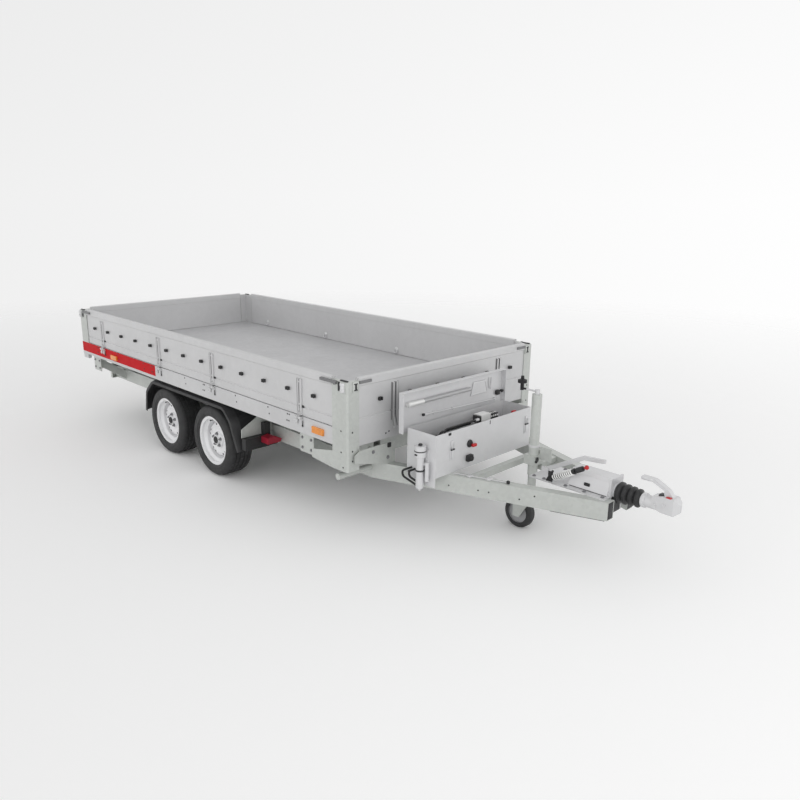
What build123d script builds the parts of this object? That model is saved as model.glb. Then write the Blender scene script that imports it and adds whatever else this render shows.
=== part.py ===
from build123d import *
import os
from collections import namedtuple
from math import hypot

# Tandem tipper trailer with drop sides, parked on its jockey wheel.
# Millimetres. +X is forward (towards the coupling), +Y is left, +Z is up, the ground is Z = 0.
# Stations along X are counted from the rear face of the bed; export moves them onto the middle.

# Bed: outer sizes, walls, rails and posts
BED_LENGTH = 3680
BED_HALF = 880
BED_TOP = 1000
WALL = 30
RAIL_TOP = 697
RAIL_HEIGHT = 107
RAIL_SHEET = 3
RAIL_FOOT = (94, 40)
FLOOR_SHEET = 4
PANEL_GAP = 4
PANEL_RECESS = 6
TOP_EDGE = 47
EDGE_BEVEL = 5
EDGE_LIP = 2
GROOVE_Z = 758
GROOVE_HALF = 6
GROOVE_DEPTH = 4
POST_SIDE = 135
POST_END = 90
POST_DROP = 16
POST_BEVEL = 10
FRONT_POST_BOTTOM = 445
SKIRT_LENGTH = 195
SKIRT_SHEET = 6
SKIRT_REAR = (462, 515)
SKIRT_FRONT = (445, 552)

# Fittings of the walls
SIDE_HINGE_OUT = 12
SIDE_HINGE_DROP = 9
HINGE_PIN_R = 5
KNUCKLE_R = 9
KNUCKLE_HALF = 10.7
KNUCKLE_GAP = 0.3
KNUCKLE_SIDE = 19
HINGE_LEAF = 40
TAIL_HINGE_IN = 15
TAIL_HINGE_DROP = 28
TAIL_PIN_R = 7
TAIL_PIN_REACH = 24
STRAP_AT = (0.55, 4.48, 7.52, 11.45)
STRAP_WIDTH = 42
STRAP_THICK = 8
STRAP_GROOVE = (14, 4)
STRAP_DROP = 70
END_STRAP_BEND_Z = 728
END_STRAP_FOOT_Z = 652
END_STRAP_KICK = 16
HOOK_Z = 850
HOOK_PROUD = 18
HOOK_HALF = 13
HOOK_HEIGHT = 20
HOOK_SLIT = 6
HOOK_BASE = 4
SIDE_HOOKS = 13
END_HOOKS = 6
SIDE_HOOK_END = 304
END_HOOK_EDGE = 255
LATCH_OFF = 5
LATCH_THICK = 10
LATCH_ARM = 90
LATCH_DROP = 26
LATCH_HALF = 8
LATCH_HUB = (40, 14)
MARKER_X = (650, -264)
MARKER_HALF = (52, 20)
MARKER_Z = 643
MARKER_PROUD = 12

# Under the bed
BEARER_HEIGHT = 56
BEARER_WIDTH = 50
BEARER_SHEET = 3
BEARER_REAR = 330
BEARER_FRONT = 250
BEARERS_EACH_END = 3
RUNNER_Y = 575
RUNNER_HALF = 30
RUNNER_BOTTOM = 520
RUNNER_SHEET = 3
RUNNER_INSET = 80
TIP_X = 100
TIP_Z = 500
TIP_PIN_R = 16
TIP_PIN_HALF = 68
LUG_Y = 448
LUG_THICK = 16
LUG_RISE = 24
EAR_THICK = 30
EAR_GAP = 10
BRIDGE_REAR = 30
BRIDGE_FRONT = 80
STRIP_Y = (708, 775)
STRIP_SHEET = 8
STRIP_BOTTOM = 433

# Chassis
BEAM_Y = 590
BEAM_HALF = 30
BEAM_WALL = 4
BEAM_BOTTOM = 332
BEAM_TOP = 437
BEAM_REAR = 60
BEAM_BEND_BACK = 80
BEAM_FRONT_Y = 106
CROSS_INSET = 5
CROSS_HALF = 25
CROSS_BACK = 930
CROSS_AHEAD = 830
CROSS_FRONT = 380
BRACE_AHEAD = 82
BRACE_WIDTH = 40
BRACE_HEIGHT = 37
REST_HALF = (70, 25)
REST_GAP = 1
REST_AHEAD = 890
REST_FRONT = 200
BRACKET_REAR = 240
BRACKET_FRONT = 406
BRACKET_HALF = 66
BRACKET_SHEET = 6
BRACKET_IN = 20
BRACKET_BOTTOM = 462
BRACKET_GAP = 6
ARM_HALF = 25
ARM_DEPTH = 80
ARM_ROOT_Z = 345
STUB_BACK = 90
STUB_R = 20
STUB_Z = 400
WING_GAP = 14
WING_SHEET = 8
WING_TOP = 570
WING_IN = 40
WING_TIP = (500, 545)
LAMP_BAR_X = 28
LAMP_BAR_OVER = 40
LAMP_BAR_Z = (326, 461)
LAMP_BAR_SHEET = 4
LAMP_WIDTH = 170
LAMP_EDGE = 20
LAMP_Z = (350, 430)
LAMP_DEPTH = 24

# Running gear
AXLE_BACK = 30
WHEEL_BASE = 670
WHEEL_R = 262.5
WHEEL_Y = 769.5
TYRE_HALF = 99
RIM_R = 182
BEAD_R = 168
ARM_REACH = 140
AXLE_Z = 285
AXLE_HALF = 35
SPINDLE_R = 20
SPINDLE_END = 5
RUN_CLEAR = 0.05
DRUM_R = 105
DRUM_INSET = 92
PLATE_GAP = 7.5
PLATE_THICK = 16
SWING_THICK = 26
SWING_NECK = 4
VENT_PAIRS = 5
VENT_R = 8
VENT_AT = 128
VENT_SPREAD = 9
GUARD_SHEET = 5
GUARD_TOP = 578
GUARD_BEND = 100
GUARD_INNER = 105
GUARD_SHOULDER = 45
GUARD_OUTER = 106
GUARD_SLOPE = 18
GUARD_LIP = 22
STAY_HALF = 25
STAY_SHEET = 6
STAY_BOTTOM = 350
STAY_REACH = 140
STAY_X = (-410, 0, 440)
CHOCK_PLATE_AHEAD = 746
CHOCK_PLATE_SHEET = 6
CHOCK_BAR = 44
CHOCK_DEEP = 84
CHOCK_SHELF = 6
CHOCK_IN = 10
CHOCK_DROP = 84
CHOCK_POST = (46, 92)
CHOCK_POST_RISE = 86

# Tipping cylinder
RAM_PIVOT_Z = 400
RAM_HEAD_Z = 585
RAM_RADII = (65, 55, 46, 37, 28)
RAM_BOTTOM = 140
RAM_FLOOR = 20
RAM_STEP = 3
RAM_TOP = 530
RAM_TOP_STEP = 5
RAM_CLEAR = 0.3
RAM_TRUNNION_R = 20
RAM_EYE_R = 22
RAM_EYE_HALF = 19.7
RAM_NECK_R = 17
RAM_BEARER = 75
CHEEK_Y = 96
CHEEK_THICK = 16
CHEEK_HALF = 125
CHEEK_Z = (350, 432)
HEAD_PLATE_GAP = 0.3
HEAD_PLATE_THICK = 12

# Pump box ahead of the bed
BOX_GAP = 162
BOX_DEPTH = 226
BOX_Y = (-556, 352)
BOX_TOP = 694
BOX_SHEET = 3
APRON_BOTTOM = 378
APRON_REACH = 56
LID_HINGE_GAP = 6
LID_HINGE_Z = 660
LID_DEPTH = 241
LID_OVER = 30
LID_RIM = 37
LID_HINGE_R = 5
LID_HINGE_Y = (-400, 190)
LID_HINGE_HALF = 30
LID_HINGE_PLAY = 0.5
LEVER_R = 12
LEVER_Y = (-533, 30)
LEVER_UP = 160
LEVER_CLIPS = (-370, -40)
BATTERY = (170, 230, 165)
BATTERY_IN = 36
BATTERY_TAP = 164
MOTOR_R = 58
MOTOR_Z = 535
VALVE_Y = (-20, 70)
VALVE_TOP = 686
VALVE_BACK = 22  # room ahead of the valve for the lever, when the lid is shut
TANK = (160, 230, 130)
PUMP_AHEAD = 138
PUMP_OUT = 34
PUMP_BOTTOM = 365
PUMP_TOP = 560
PUMP_HEAD_TOP = 626
HOSE_R = 6.5
HOSE_BEND = 24

# Drawbar ahead of the pump box
JOCKEY_AHEAD = 234
BASE_AHEAD = 113
BASE_LENGTH = 490
BASE_HALF = 128
BASE_SHEET = 8
BASE_TO_BEAM = 30
SHAFT_Z = 458
SHAFT_R = 25
HOUSING_START = 235
HOUSING_SHORT = 13
COLLAR_R = 48
COLLAR_LENGTH = 21
FLANGE_HALF = 64
FLANGE_THICK = 12
GAITER_LENGTH = 142
GAITER_FOLDS = 4
GAITER_R = (60, 48)
GAITER_TAPER = 3
HEAD_LENGTH = 213
SLEEVE_R = 34
SLEEVE_LENGTH = 95
BALL_BACK = 56
BALL_Z = 452
BALL_R = 25.3
HANDLE_HALF = 17
LEVER_HALF = 10
SPRING_START = 151
SPRING_Y = -106
SPRING_R = 15

# Jockey wheel
JOCKEY_Y = 70
JOCKEY_TRAIL = 75
JOCKEY_WHEEL_R = 100
JOCKEY_TUBE_R = 30
JOCKEY_TUBE_TOP = 876
JOCKEY_TUBE_BOTTOM = 370
JOCKEY_CAP = 12
JOCKEY_LEG_R = 25.1
JOCKEY_LEG_PLAY = 0.3
JOCKEY_LEG_TOP = 600
JOCKEY_STEM_R = 14
JOCKEY_STEM_TOP = 300
JOCKEY_CROWN_Z = 212
JOCKEY_FORK_SHEET = 6
JOCKEY_FORK_HALF = 38
JOCKEY_PIN_R = 10
CRANK_ARM = 112
CRANK_ROD_R = 6
CRANK_Z = 892
CLAMP_HALF = 40
CLAMP_Z = (440, 500)
CLAMP_SHEET = 8

# Worked out from the above
RAIL_BOTTOM = RAIL_TOP - RAIL_HEIGHT
PANEL_BOTTOM = RAIL_TOP + PANEL_GAP
POST_TOP = BED_TOP - POST_DROP
STRAP_TOP = BED_TOP - STRAP_DROP
SIDE_FACE = BED_HALF - PANEL_RECESS
SIDE_HOOK_PITCH = (BED_LENGTH - 2 * SIDE_HOOK_END) / (SIDE_HOOKS - 1)
END_HOOK_REACH = BED_HALF - END_HOOK_EDGE
END_HOOK_PITCH = 2 * END_HOOK_REACH / (END_HOOKS - 1)
END_STRAP_Y = END_HOOK_REACH - END_HOOK_PITCH / 2
SIDE_HINGE_Y = BED_HALF + SIDE_HINGE_OUT
SIDE_HINGE_Z = RAIL_TOP - SIDE_HINGE_DROP
TAIL_HINGE_X = TAIL_HINGE_IN
TAIL_HINGE_Z = BED_TOP - TAIL_HINGE_DROP
BEARER_TOP = RAIL_TOP - FLOOR_SHEET
RUNNER_TOP = BEARER_TOP - BEARER_HEIGHT
AXLE_MID = BED_LENGTH / 2 - AXLE_BACK
WHEEL_X = (AXLE_MID - WHEEL_BASE / 2, AXLE_MID + WHEEL_BASE / 2)
RAM_X = AXLE_MID
BOX_X = (BED_LENGTH + BOX_GAP, BED_LENGTH + BOX_GAP + BOX_DEPTH)
LID_HINGE_X = BOX_X[0] - LID_HINGE_GAP
JOCKEY_X = BOX_X[1] + JOCKEY_AHEAD
BASE_X = (JOCKEY_X + BASE_AHEAD, JOCKEY_X + BASE_AHEAD + BASE_LENGTH)
BASE_TOP = BEAM_TOP + BASE_SHEET
HOUSING_FRONT = BASE_X[1] - HOUSING_SHORT
GAITER_REAR = HOUSING_FRONT + COLLAR_LENGTH
GAITER_FRONT = GAITER_REAR + GAITER_LENGTH
NOSE_X = GAITER_FRONT + HEAD_LENGTH
BALL_X = NOSE_X - BALL_BACK
BEAM_BEND = BED_LENGTH - BEAM_BEND_BACK
BEAM_FRONT = BASE_X[1] + BASE_TO_BEAM
BEAM_SIDE = BEAM_Y + BEAM_HALF
LAMP_BAR_HALF = BEAM_SIDE + LAMP_BAR_OVER
BEAM_SLOPE = (BEAM_Y - BEAM_FRONT_Y) / (BEAM_FRONT - BEAM_BEND)
BEAM_LEAN = hypot(1, BEAM_SLOPE)
REAR_REACH = PANEL_RECESS - HOOK_PROUD
ORIGIN_X = (NOSE_X + REAR_REACH) / 2


# Shapes

def block(x, y, z):
    """Box between pairs of coordinates."""
    size = [b - a for a, b in (x, y, z)]
    mid = [(a + b) / 2 for a, b in (x, y, z)]
    return Pos(*mid) * Box(*size)


def around(middle, half):
    return (middle - half, middle + half)


def rod(start, end, radius):
    """Round bar between two points."""
    run = Vector(*end) - Vector(*start)
    return extrude(Plane(origin=start, z_dir=run) * Circle(radius), amount=run.length)


def rod_y(x, y, z, radius):
    return rod((x, y[0], z), (x, y[1], z), radius)


def rod_z(x, y, z, radius):
    return rod((x, y, z[0]), (x, y, z[1]), radius)


def across(points, y):
    """Prism along Y from an outline in X and Z."""
    plane = Plane(origin=(0, y[1], 0), x_dir=(1, 0, 0), z_dir=(0, -1, 0))
    return extrude(plane * make_face(Polyline(*points, close=True)), amount=y[1] - y[0])


def along(points, x):
    """Prism along X from an outline in Y and Z."""
    plane = Plane(origin=(x[0], 0, 0), x_dir=(0, 1, 0), z_dir=(1, 0, 0))
    return extrude(plane * make_face(Polyline(*points, close=True)), amount=x[1] - x[0])


def upright(points, z):
    """Prism along Z from an outline in X and Y."""
    return extrude(Pos(0, 0, z[0]) * make_face(Polyline(*points, close=True)), amount=z[1] - z[0])


def turned_y(points, centre):
    """Ring about a line along Y; outline in radius and Y."""
    plane = Plane(origin=(0, 0, 0), x_dir=(1, 0, 0), z_dir=(0, 0, 1))
    body = revolve(plane * make_face(Polyline(*points, close=True)), axis=Axis.Y)
    return Pos(*centre) * body


def turned_x(points, centre):
    """Ring about a line along X; outline in X and radius."""
    body = revolve(make_face(Polyline(*points, close=True)), axis=Axis.X)
    return Pos(*centre) * body


def bent_rod(points, radius, bend):
    """Round bar along a path with arcs at its corners."""
    path = FilletPolyline(*points, radius=bend)
    section = Plane(origin=path @ 0, z_dir=path % 0) * Circle(radius)
    return sweep(section, path=path)


def shifted(points, x, z):
    return [(x + a, z + b) for a, b in points]


def mirrored_outline(half):
    """Closed outline from the half with positive first coordinates."""
    return list(half) + [(-a, b) for a, b in reversed(half)]


def other_side(body):
    return mirror(body, about=Plane.XZ)


def both(body):
    return [body, other_side(body)]


def fuse(items):
    whole = items[0]
    for item in items[1:]:
        whole = whole + item
    return whole


# Chassis

def beam_edge(x, side):
    """Y of a face of the left beam on the drawbar; side is 1 for the outer one."""
    return BEAM_Y - BEAM_SLOPE * (x - BEAM_BEND) + side * BEAM_HALF * BEAM_LEAN


def beam_plan(half, rear, front):
    mitre = (BEAM_LEAN - 1) / BEAM_SLOPE
    front_y = BEAM_Y - BEAM_SLOPE * (front - BEAM_BEND)
    return [
        (rear, BEAM_Y - half),
        (BEAM_BEND - half * mitre, BEAM_Y - half),
        (front, front_y - half * BEAM_LEAN),
        (front, front_y + half * BEAM_LEAN),
        (BEAM_BEND + half * mitre, BEAM_Y + half),
        (rear, BEAM_Y + half),
    ]


def chassis_beams():
    outer = upright(beam_plan(BEAM_HALF, BEAM_REAR, BEAM_FRONT), (BEAM_BOTTOM, BEAM_TOP))
    inner = upright(
        beam_plan(BEAM_HALF - BEAM_WALL, BEAM_REAR - BEAM_WALL, BEAM_FRONT + BEAM_WALL),
        (BEAM_BOTTOM + BEAM_WALL, BEAM_TOP - BEAM_WALL),
    )
    return both(outer - inner)


def cross_members():
    """Bars between the beams; the rear one carries the tipping lugs."""
    inside = (-(BEAM_Y - BEAM_HALF), BEAM_Y - BEAM_HALF)
    z = (BEAM_BOTTOM + CROSS_INSET, BEAM_TOP - CROSS_INSET)
    rear = block((TIP_X - 34, TIP_X + 46), inside, z)
    lug = across(
        [(TIP_X - 34, z[1]), (TIP_X + 46, z[1]), (TIP_X + 22, TIP_Z + LUG_RISE), (TIP_X - 22, TIP_Z + LUG_RISE)],
        around(LUG_Y, LUG_THICK / 2),
    )
    pin = rod_y(TIP_X, around(LUG_Y, TIP_PIN_HALF), TIP_Z, TIP_PIN_R)
    for item in (lug, pin):
        rear = rear + item + other_side(item)
    parts = [rear]
    stations = [
        AXLE_MID - CROSS_BACK,
        RAM_X - CHEEK_HALF - CROSS_HALF,
        RAM_X + CHEEK_HALF + CROSS_HALF,
        AXLE_MID + CROSS_AHEAD,
        BED_LENGTH - CROSS_FRONT,
    ]
    for x in stations:
        parts.append(block(around(x, CROSS_HALF), inside, z))
    brace_x = (BOX_X[1] + BRACE_AHEAD, BOX_X[1] + BRACE_AHEAD + BRACE_WIDTH)
    edges = [(x, beam_edge(x, -1)) for x in brace_x]
    brace = edges + [(x, -y) for x, y in reversed(edges)]
    parts.append(upright(brace, (z[1] - BRACE_HEIGHT, z[1])))
    return parts


def ram_cheeks():
    """Plates between two bars in which the cylinder's trunnions turn."""
    y = (CHEEK_Y, CHEEK_Y + CHEEK_THICK)
    cheek = block(around(RAM_X, CHEEK_HALF), y, CHEEK_Z)
    cheek -= rod_y(RAM_X, (y[0] - 1, y[1] + 1), RAM_PIVOT_Z, RAM_TRUNNION_R + RUN_CLEAR)
    return both(cheek)


def bed_rests():
    """Saddles on the beams that carry the lowered bed."""
    parts = []
    for x in (AXLE_MID + REST_AHEAD, BED_LENGTH - REST_FRONT):
        z = (BEAM_TOP, RUNNER_BOTTOM - REST_GAP)
        parts += both(block(around(x, REST_HALF[0]), around(RUNNER_Y, REST_HALF[1]), z))
    return parts


def outriggers():
    """Arms and plates beside the beams, below the edges of the bed."""
    tip = BED_HALF - BRACKET_IN
    top = RAIL_BOTTOM - BRACKET_GAP
    parts = []
    for x in (BRACKET_REAR, BED_LENGTH - BRACKET_FRONT):
        arm_tip = top - ARM_DEPTH
        arm = along(
            [
                (BEAM_SIDE, ARM_ROOT_Z),
                (BEAM_SIDE, ARM_ROOT_Z + ARM_DEPTH),
                (tip - BRACKET_SHEET, top - BRACKET_SHEET),
                (tip - BRACKET_SHEET, arm_tip),
            ],
            around(x, ARM_HALF),
        )
        plate = block(around(x, BRACKET_HALF), (tip - BRACKET_SHEET, tip), (BRACKET_BOTTOM, top))
        parts += both(arm + plate)
    stub_x = BED_LENGTH - STUB_BACK
    parts += both(rod((stub_x, BEAM_SIDE, STUB_Z), (stub_x, BED_HALF, STUB_Z), STUB_R))
    return parts


def wing_plates():
    """Cross plates that stand on the drawbar below the front corners of the bed."""
    x = BED_LENGTH + WING_GAP
    foot = (beam_edge(x + WING_SHEET, -1), beam_edge(x, 1))
    tip = BED_HALF - WING_IN
    outline = [
        (foot[0], BEAM_TOP), (foot[1], BEAM_TOP), (tip, WING_TIP[0]), (tip, WING_TIP[1]),
        (tip - WING_IN, WING_TOP), (foot[0], WING_TOP),
    ]
    return both(along(outline, (x, x + WING_SHEET)))


def axle_tubes():
    tube_end = swing_planes()["neck"][0]
    parts = []
    for wheel in WHEEL_X:
        x = wheel + ARM_REACH
        tube = block(around(x, AXLE_HALF), (-tube_end, tube_end), around(AXLE_Z, AXLE_HALF))
        seat = block(around(x, 2 * CROSS_HALF), around(BEAM_Y, CROSS_HALF), (AXLE_Z + AXLE_HALF, BEAM_BOTTOM))
        parts.append(tube + seat + other_side(seat))
    return parts


def swing_planes():
    """Layers between the axle tube and the wheel, each from its inner to its outer face."""
    plate = WHEEL_Y - DRUM_INSET - PLATE_GAP
    arm = plate - PLATE_THICK
    neck = arm - SWING_THICK
    return {"plate": (arm, plate), "arm": (neck, arm), "neck": (neck - SWING_NECK, neck)}


def swing_arms():
    planes = swing_planes()
    parts = []
    for wheel in WHEEL_X:
        x = wheel + ARM_REACH
        outline = [
            (x + 40, AXLE_Z - AXLE_HALF), (x + 40, AXLE_Z + 37), (x - 30, AXLE_Z + 41),
            (wheel - 36, WHEEL_R + 34), (wheel - 36, WHEEL_R - 34), (wheel + 30, WHEEL_R - 36),
        ]
        arm = across(outline, planes["arm"])
        neck = block(around(x, 26), planes["neck"], around(AXLE_Z, 26))
        plate = rod_y(wheel, planes["plate"], WHEEL_R, DRUM_R - 1)
        spindle = rod_y(wheel, (planes["plate"][1], WHEEL_Y + SPINDLE_END), WHEEL_R, SPINDLE_R)
        parts += both(arm + neck + plate + spindle)
    return parts


# Half a tyre's section: radius, distance from its middle plane
TYRE_SECTION = (
    (BEAD_R, 79), (RIM_R + 0.3, 79), (RIM_R + 2, 90), (204, TYRE_HALF - 1.5), (226, TYRE_HALF),
    (244, TYRE_HALF - 6), (256, TYRE_HALF - 17), (WHEEL_R, TYRE_HALF - 37),
)

# Rim with its disc and hub: radius, distance outwards from the tyre's middle plane
RIM_SECTION = (
    (RIM_R, 83), (RIM_R, 79), (BEAD_R, 79), (BEAD_R, 60), (150, 44), (150, -44), (BEAD_R, -60), (BEAD_R, -79),
    (RIM_R, -79), (RIM_R, -83), (162, -81), (162, -60), (144, -43), (144, -12), (114, 26), (100, 30), (80, 24),
    (66, 24), (66, -12), (DRUM_R, -12), (DRUM_R, -DRUM_INSET), (0, -DRUM_INSET), (0, 58), (34, 58), (34, 44),
    (60, 44), (60, 30), (78, 30), (100, 37), (118, 33), (144, -2), (144, 43), (162, 60), (162, 81),
)


def wheel_set(x, side):
    tyre_points = list(TYRE_SECTION) + [(r, -y) for r, y in reversed(TYRE_SECTION)]
    tyre = turned_y(tyre_points, (0, 0, 0))
    rim = turned_y(RIM_SECTION, (0, 0, 0))
    rim -= rod_y(0, (-DRUM_INSET - 1, SPINDLE_END + RUN_CLEAR + 5), 0, SPINDLE_R + RUN_CLEAR)
    for pair in range(VENT_PAIRS):
        for shift in (-VENT_SPREAD, VENT_SPREAD):
            turn = Rot(0, 360 / VENT_PAIRS * pair + shift, 0)
            rim -= turn * rod((0, -20, VENT_AT), (0, 60, VENT_AT), VENT_R)
    if side < 0:
        tyre = other_side(tyre)
        rim = other_side(rim)
    centre = Pos(x, side * WHEEL_Y, WHEEL_R)
    return centre * tyre, centre * rim


# Mudguard line over the two wheels: distance from the rear or the front wheel, height
GUARD_REAR_LINE = ((-340, 292), (-310, 470), (-185, GUARD_TOP))
GUARD_FRONT_LINE = ((200, GUARD_TOP), (295, 490), (390, 280))


def mudguards():
    points = [(WHEEL_X[0] + x, WHEEL_Y, z) for x, z in GUARD_REAR_LINE]
    points += [(WHEEL_X[1] + x, WHEEL_Y, z) for x, z in GUARD_FRONT_LINE]
    path = FilletPolyline(*points, radius=GUARD_BEND)
    lip = -GUARD_SLOPE - GUARD_LIP
    section = [
        (-GUARD_INNER, -GUARD_SHEET), (-GUARD_INNER, 0), (GUARD_SHOULDER, 0), (GUARD_OUTER, -GUARD_SLOPE),
        (GUARD_OUTER, lip), (GUARD_OUTER - GUARD_SHEET, lip),
        (GUARD_OUTER - GUARD_SHEET, -GUARD_SLOPE - GUARD_SHEET + 1), (GUARD_SHOULDER - 1, -GUARD_SHEET),
    ]
    plane = Plane(origin=path @ 0, x_dir=(0, 1, 0), z_dir=path % 0)
    guard = sweep(plane * make_face(Polyline(*section, close=True)), path=path)
    return both(guard)


def guard_stays():
    top = GUARD_TOP - GUARD_SHEET
    parts = []
    for shift in STAY_X:
        x = around(AXLE_MID + shift, STAY_HALF)
        leg = block(x, (BEAM_SIDE, BEAM_SIDE + STAY_SHEET), (STAY_BOTTOM, top))
        foot = block(x, (BEAM_SIDE + STAY_SHEET, BEAM_SIDE + STAY_REACH), (top - STAY_SHEET, top))
        parts += both(leg + foot)
    return parts


# Plate ahead of each mudguard that carries the chock: distance from the beam, height
CHOCK_OUT = BED_HALF - CHOCK_IN - BEAM_SIDE
CHOCK_PLATE = ((0, 385), (CHOCK_OUT, 385), (CHOCK_OUT, 444), (108, 520), (0, 560))

# Wedge on its shelf: distance from the beam, height
CHOCK_WEDGE = ((8, 362), (70, 392), (122, 384), (125, 342), (20, 342))


def chock_plates():
    x = AXLE_MID + CHOCK_PLATE_AHEAD
    outline = [(BEAM_SIDE + y, z) for y, z in CHOCK_PLATE]
    return both(along(outline, (x, x + CHOCK_PLATE_SHEET)))


def chock_holders():
    """Black holder: a bar below the plate, a post against it and a shelf for the wedge."""
    x = AXLE_MID + CHOCK_PLATE_AHEAD + CHOCK_PLATE_SHEET
    foot = CHOCK_PLATE[0][1] - 1
    inner = BEAM_SIDE + CHOCK_POST[0]
    bar = block((x, x + CHOCK_BAR), (inner, BEAM_SIDE + CHOCK_OUT), (foot - CHOCK_DROP, foot))
    post = block(
        (x, x + CHOCK_BAR), (inner, BEAM_SIDE + CHOCK_POST[1]), (foot - CHOCK_DROP, foot + CHOCK_POST_RISE)
    )
    wedge_out, wedge_foot = CHOCK_WEDGE[-2]
    shelf = block(
        (x + CHOCK_BAR, x + CHOCK_BAR + CHOCK_DEEP), (inner, BEAM_SIDE + wedge_out),
        (wedge_foot - CHOCK_SHELF, wedge_foot),
    )
    return both(bar + post + shelf)


def wheel_chocks():
    x = AXLE_MID + CHOCK_PLATE_AHEAD + CHOCK_PLATE_SHEET + CHOCK_BAR + 1
    outline = [(BEAM_SIDE + y, z) for y, z in CHOCK_WEDGE]
    return both(along(outline, (x, x + CHOCK_DEEP - 2)))


# Rear lamps

def lamp_bar():
    """Channel behind the beams, open forwards, with a block at each beam."""
    y = (-LAMP_BAR_HALF, LAMP_BAR_HALF)
    bar = block((LAMP_BAR_X, BEAM_REAR), y, LAMP_BAR_Z)
    inner_y = (y[0] + LAMP_BAR_SHEET, y[1] - LAMP_BAR_SHEET)
    inner_z = (LAMP_BAR_Z[0] + LAMP_BAR_SHEET, LAMP_BAR_Z[1] - LAMP_BAR_SHEET)
    bar -= block((LAMP_BAR_X + LAMP_BAR_SHEET, BEAM_REAR + 1), inner_y, inner_z)
    seat = block((LAMP_BAR_X + LAMP_BAR_SHEET, BEAM_REAR), around(BEAM_Y, BEAM_HALF), (BEAM_BOTTOM, BEAM_TOP))
    return bar + seat + other_side(seat)


def tail_lamps():
    outer = LAMP_BAR_HALF - LAMP_EDGE
    return both(block((LAMP_BAR_X - LAMP_DEPTH, LAMP_BAR_X), (outer - LAMP_WIDTH, outer), LAMP_Z))


# Overrun unit and coupling

# Half section of the housing: half width, height above the base plate
HOUSING_SECTION = ((84, 0), (60, 75), (42, 95))
HOUSING_TAIL = ((64, 0), (44, 26))


def overrun_housing():
    base = block(BASE_X, (-BASE_HALF, BASE_HALF), (BEAM_TOP, BASE_TOP))
    start = BASE_X[0] + HOUSING_START
    hat = along(mirrored_outline([(y, BASE_TOP + z) for y, z in HOUSING_SECTION]), (start, HOUSING_FRONT))
    tail = along(
        mirrored_outline([(y, BASE_TOP + z) for y, z in HOUSING_TAIL]), (BASE_X[0] + 130, start)
    )
    collar = rod((HOUSING_FRONT, 0, SHAFT_Z), (GAITER_REAR, 0, SHAFT_Z), COLLAR_R)
    flange = block(
        (HOUSING_FRONT, HOUSING_FRONT + FLANGE_THICK),
        (-FLANGE_HALF, FLANGE_HALF),
        (BEAM_BOTTOM + CROSS_INSET, BASE_TOP + HOUSING_SECTION[-1][1]),
    )
    whole = base + hat + tail + collar + flange
    return whole - rod((start, 0, SHAFT_Z), (GAITER_REAR + 1, 0, SHAFT_Z), SHAFT_R)


def gaiter():
    pitch = GAITER_LENGTH / GAITER_FOLDS
    outline = [(0, SHAFT_R), (0, GAITER_R[1])]
    for i in range(GAITER_FOLDS):
        crest = GAITER_R[0] - GAITER_TAPER * i
        valley = GAITER_R[1] - GAITER_TAPER * (i + 1)
        outline += [(pitch * (i + 0.35), crest), (pitch * (i + 0.65), crest), (pitch * (i + 1), valley)]
    outline += [(GAITER_LENGTH, SHAFT_R)]
    return turned_x(outline, (GAITER_REAR, 0, SHAFT_Z))


# Coupling head from the ball's centre: forward and half width, then forward and up
HEAD_PLAN = ((-92, 33), (-22, 38), (28, 38), (50, 22), (BALL_BACK, 8))
HEAD_SIDE = ((-92, -6), (-42, -22), (34, -24), (BALL_BACK, -6), (BALL_BACK, 38), (28, 66), (-36, 66), (-92, 52))

# Coupling handle: forward of the ball, above the top of the head
HANDLE_SIDE = ((-32, 0), (16, 0), (-12, 34), (-92, 74), (-168, 74), (-168, 58), (-104, 58), (-36, 27))


def coupling_head():
    start = (BASE_X[0] + HOUSING_START, 0, SHAFT_Z)
    shaft = rod(start, (GAITER_FRONT, 0, SHAFT_Z), SHAFT_R)
    sleeve = rod((GAITER_FRONT, 0, SHAFT_Z), (GAITER_FRONT + SLEEVE_LENGTH, 0, SHAFT_Z), SLEEVE_R)
    plan = [(BALL_X + x, y) for x, y in HEAD_PLAN]
    plan += [(x, -y) for x, y in reversed(plan)]
    heights = (BALL_Z - 2 * BALL_R, BALL_Z + 3 * BALL_R)
    body = upright(plan, heights) & across(shifted(HEAD_SIDE, BALL_X, BALL_Z), (-2 * BALL_R, 2 * BALL_R))
    whole = shaft + sleeve + body
    whole -= Pos(BALL_X, 0, BALL_Z) * Sphere(BALL_R)
    return whole - rod_z(BALL_X, 0, (heights[0], BALL_Z), BALL_R)


def head_top():
    return BALL_Z + max(z for x, z in HEAD_SIDE)


def coupling_handle():
    return across(shifted(HANDLE_SIDE, BALL_X, head_top()), (-HANDLE_HALF, HANDLE_HALF))


# Handbrake lever from the rear end of the base plate and its top: forward, up
LEVER_SIDE = ((15, 21), (31, 2), (281, 137), (407, 149), (407, 171), (271, 161))


def handbrake_lever():
    bar = across(shifted(LEVER_SIDE, BASE_X[0], BASE_TOP), (-LEVER_HALF, LEVER_HALF))
    pivot = block(
        (BASE_X[0] + 10, BASE_X[0] + 55), (-2 * LEVER_HALF, -LEVER_HALF), (BASE_TOP, BASE_TOP + 33)
    )
    return bar + pivot


# Brake spring along its line: length and radius of each piece
SPRING_PIECES = ((112, SPRING_R), (62, SPRING_R + 3), (22, SPRING_R - 3))
SPRING_RUN = (170, 0, 88)


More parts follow.
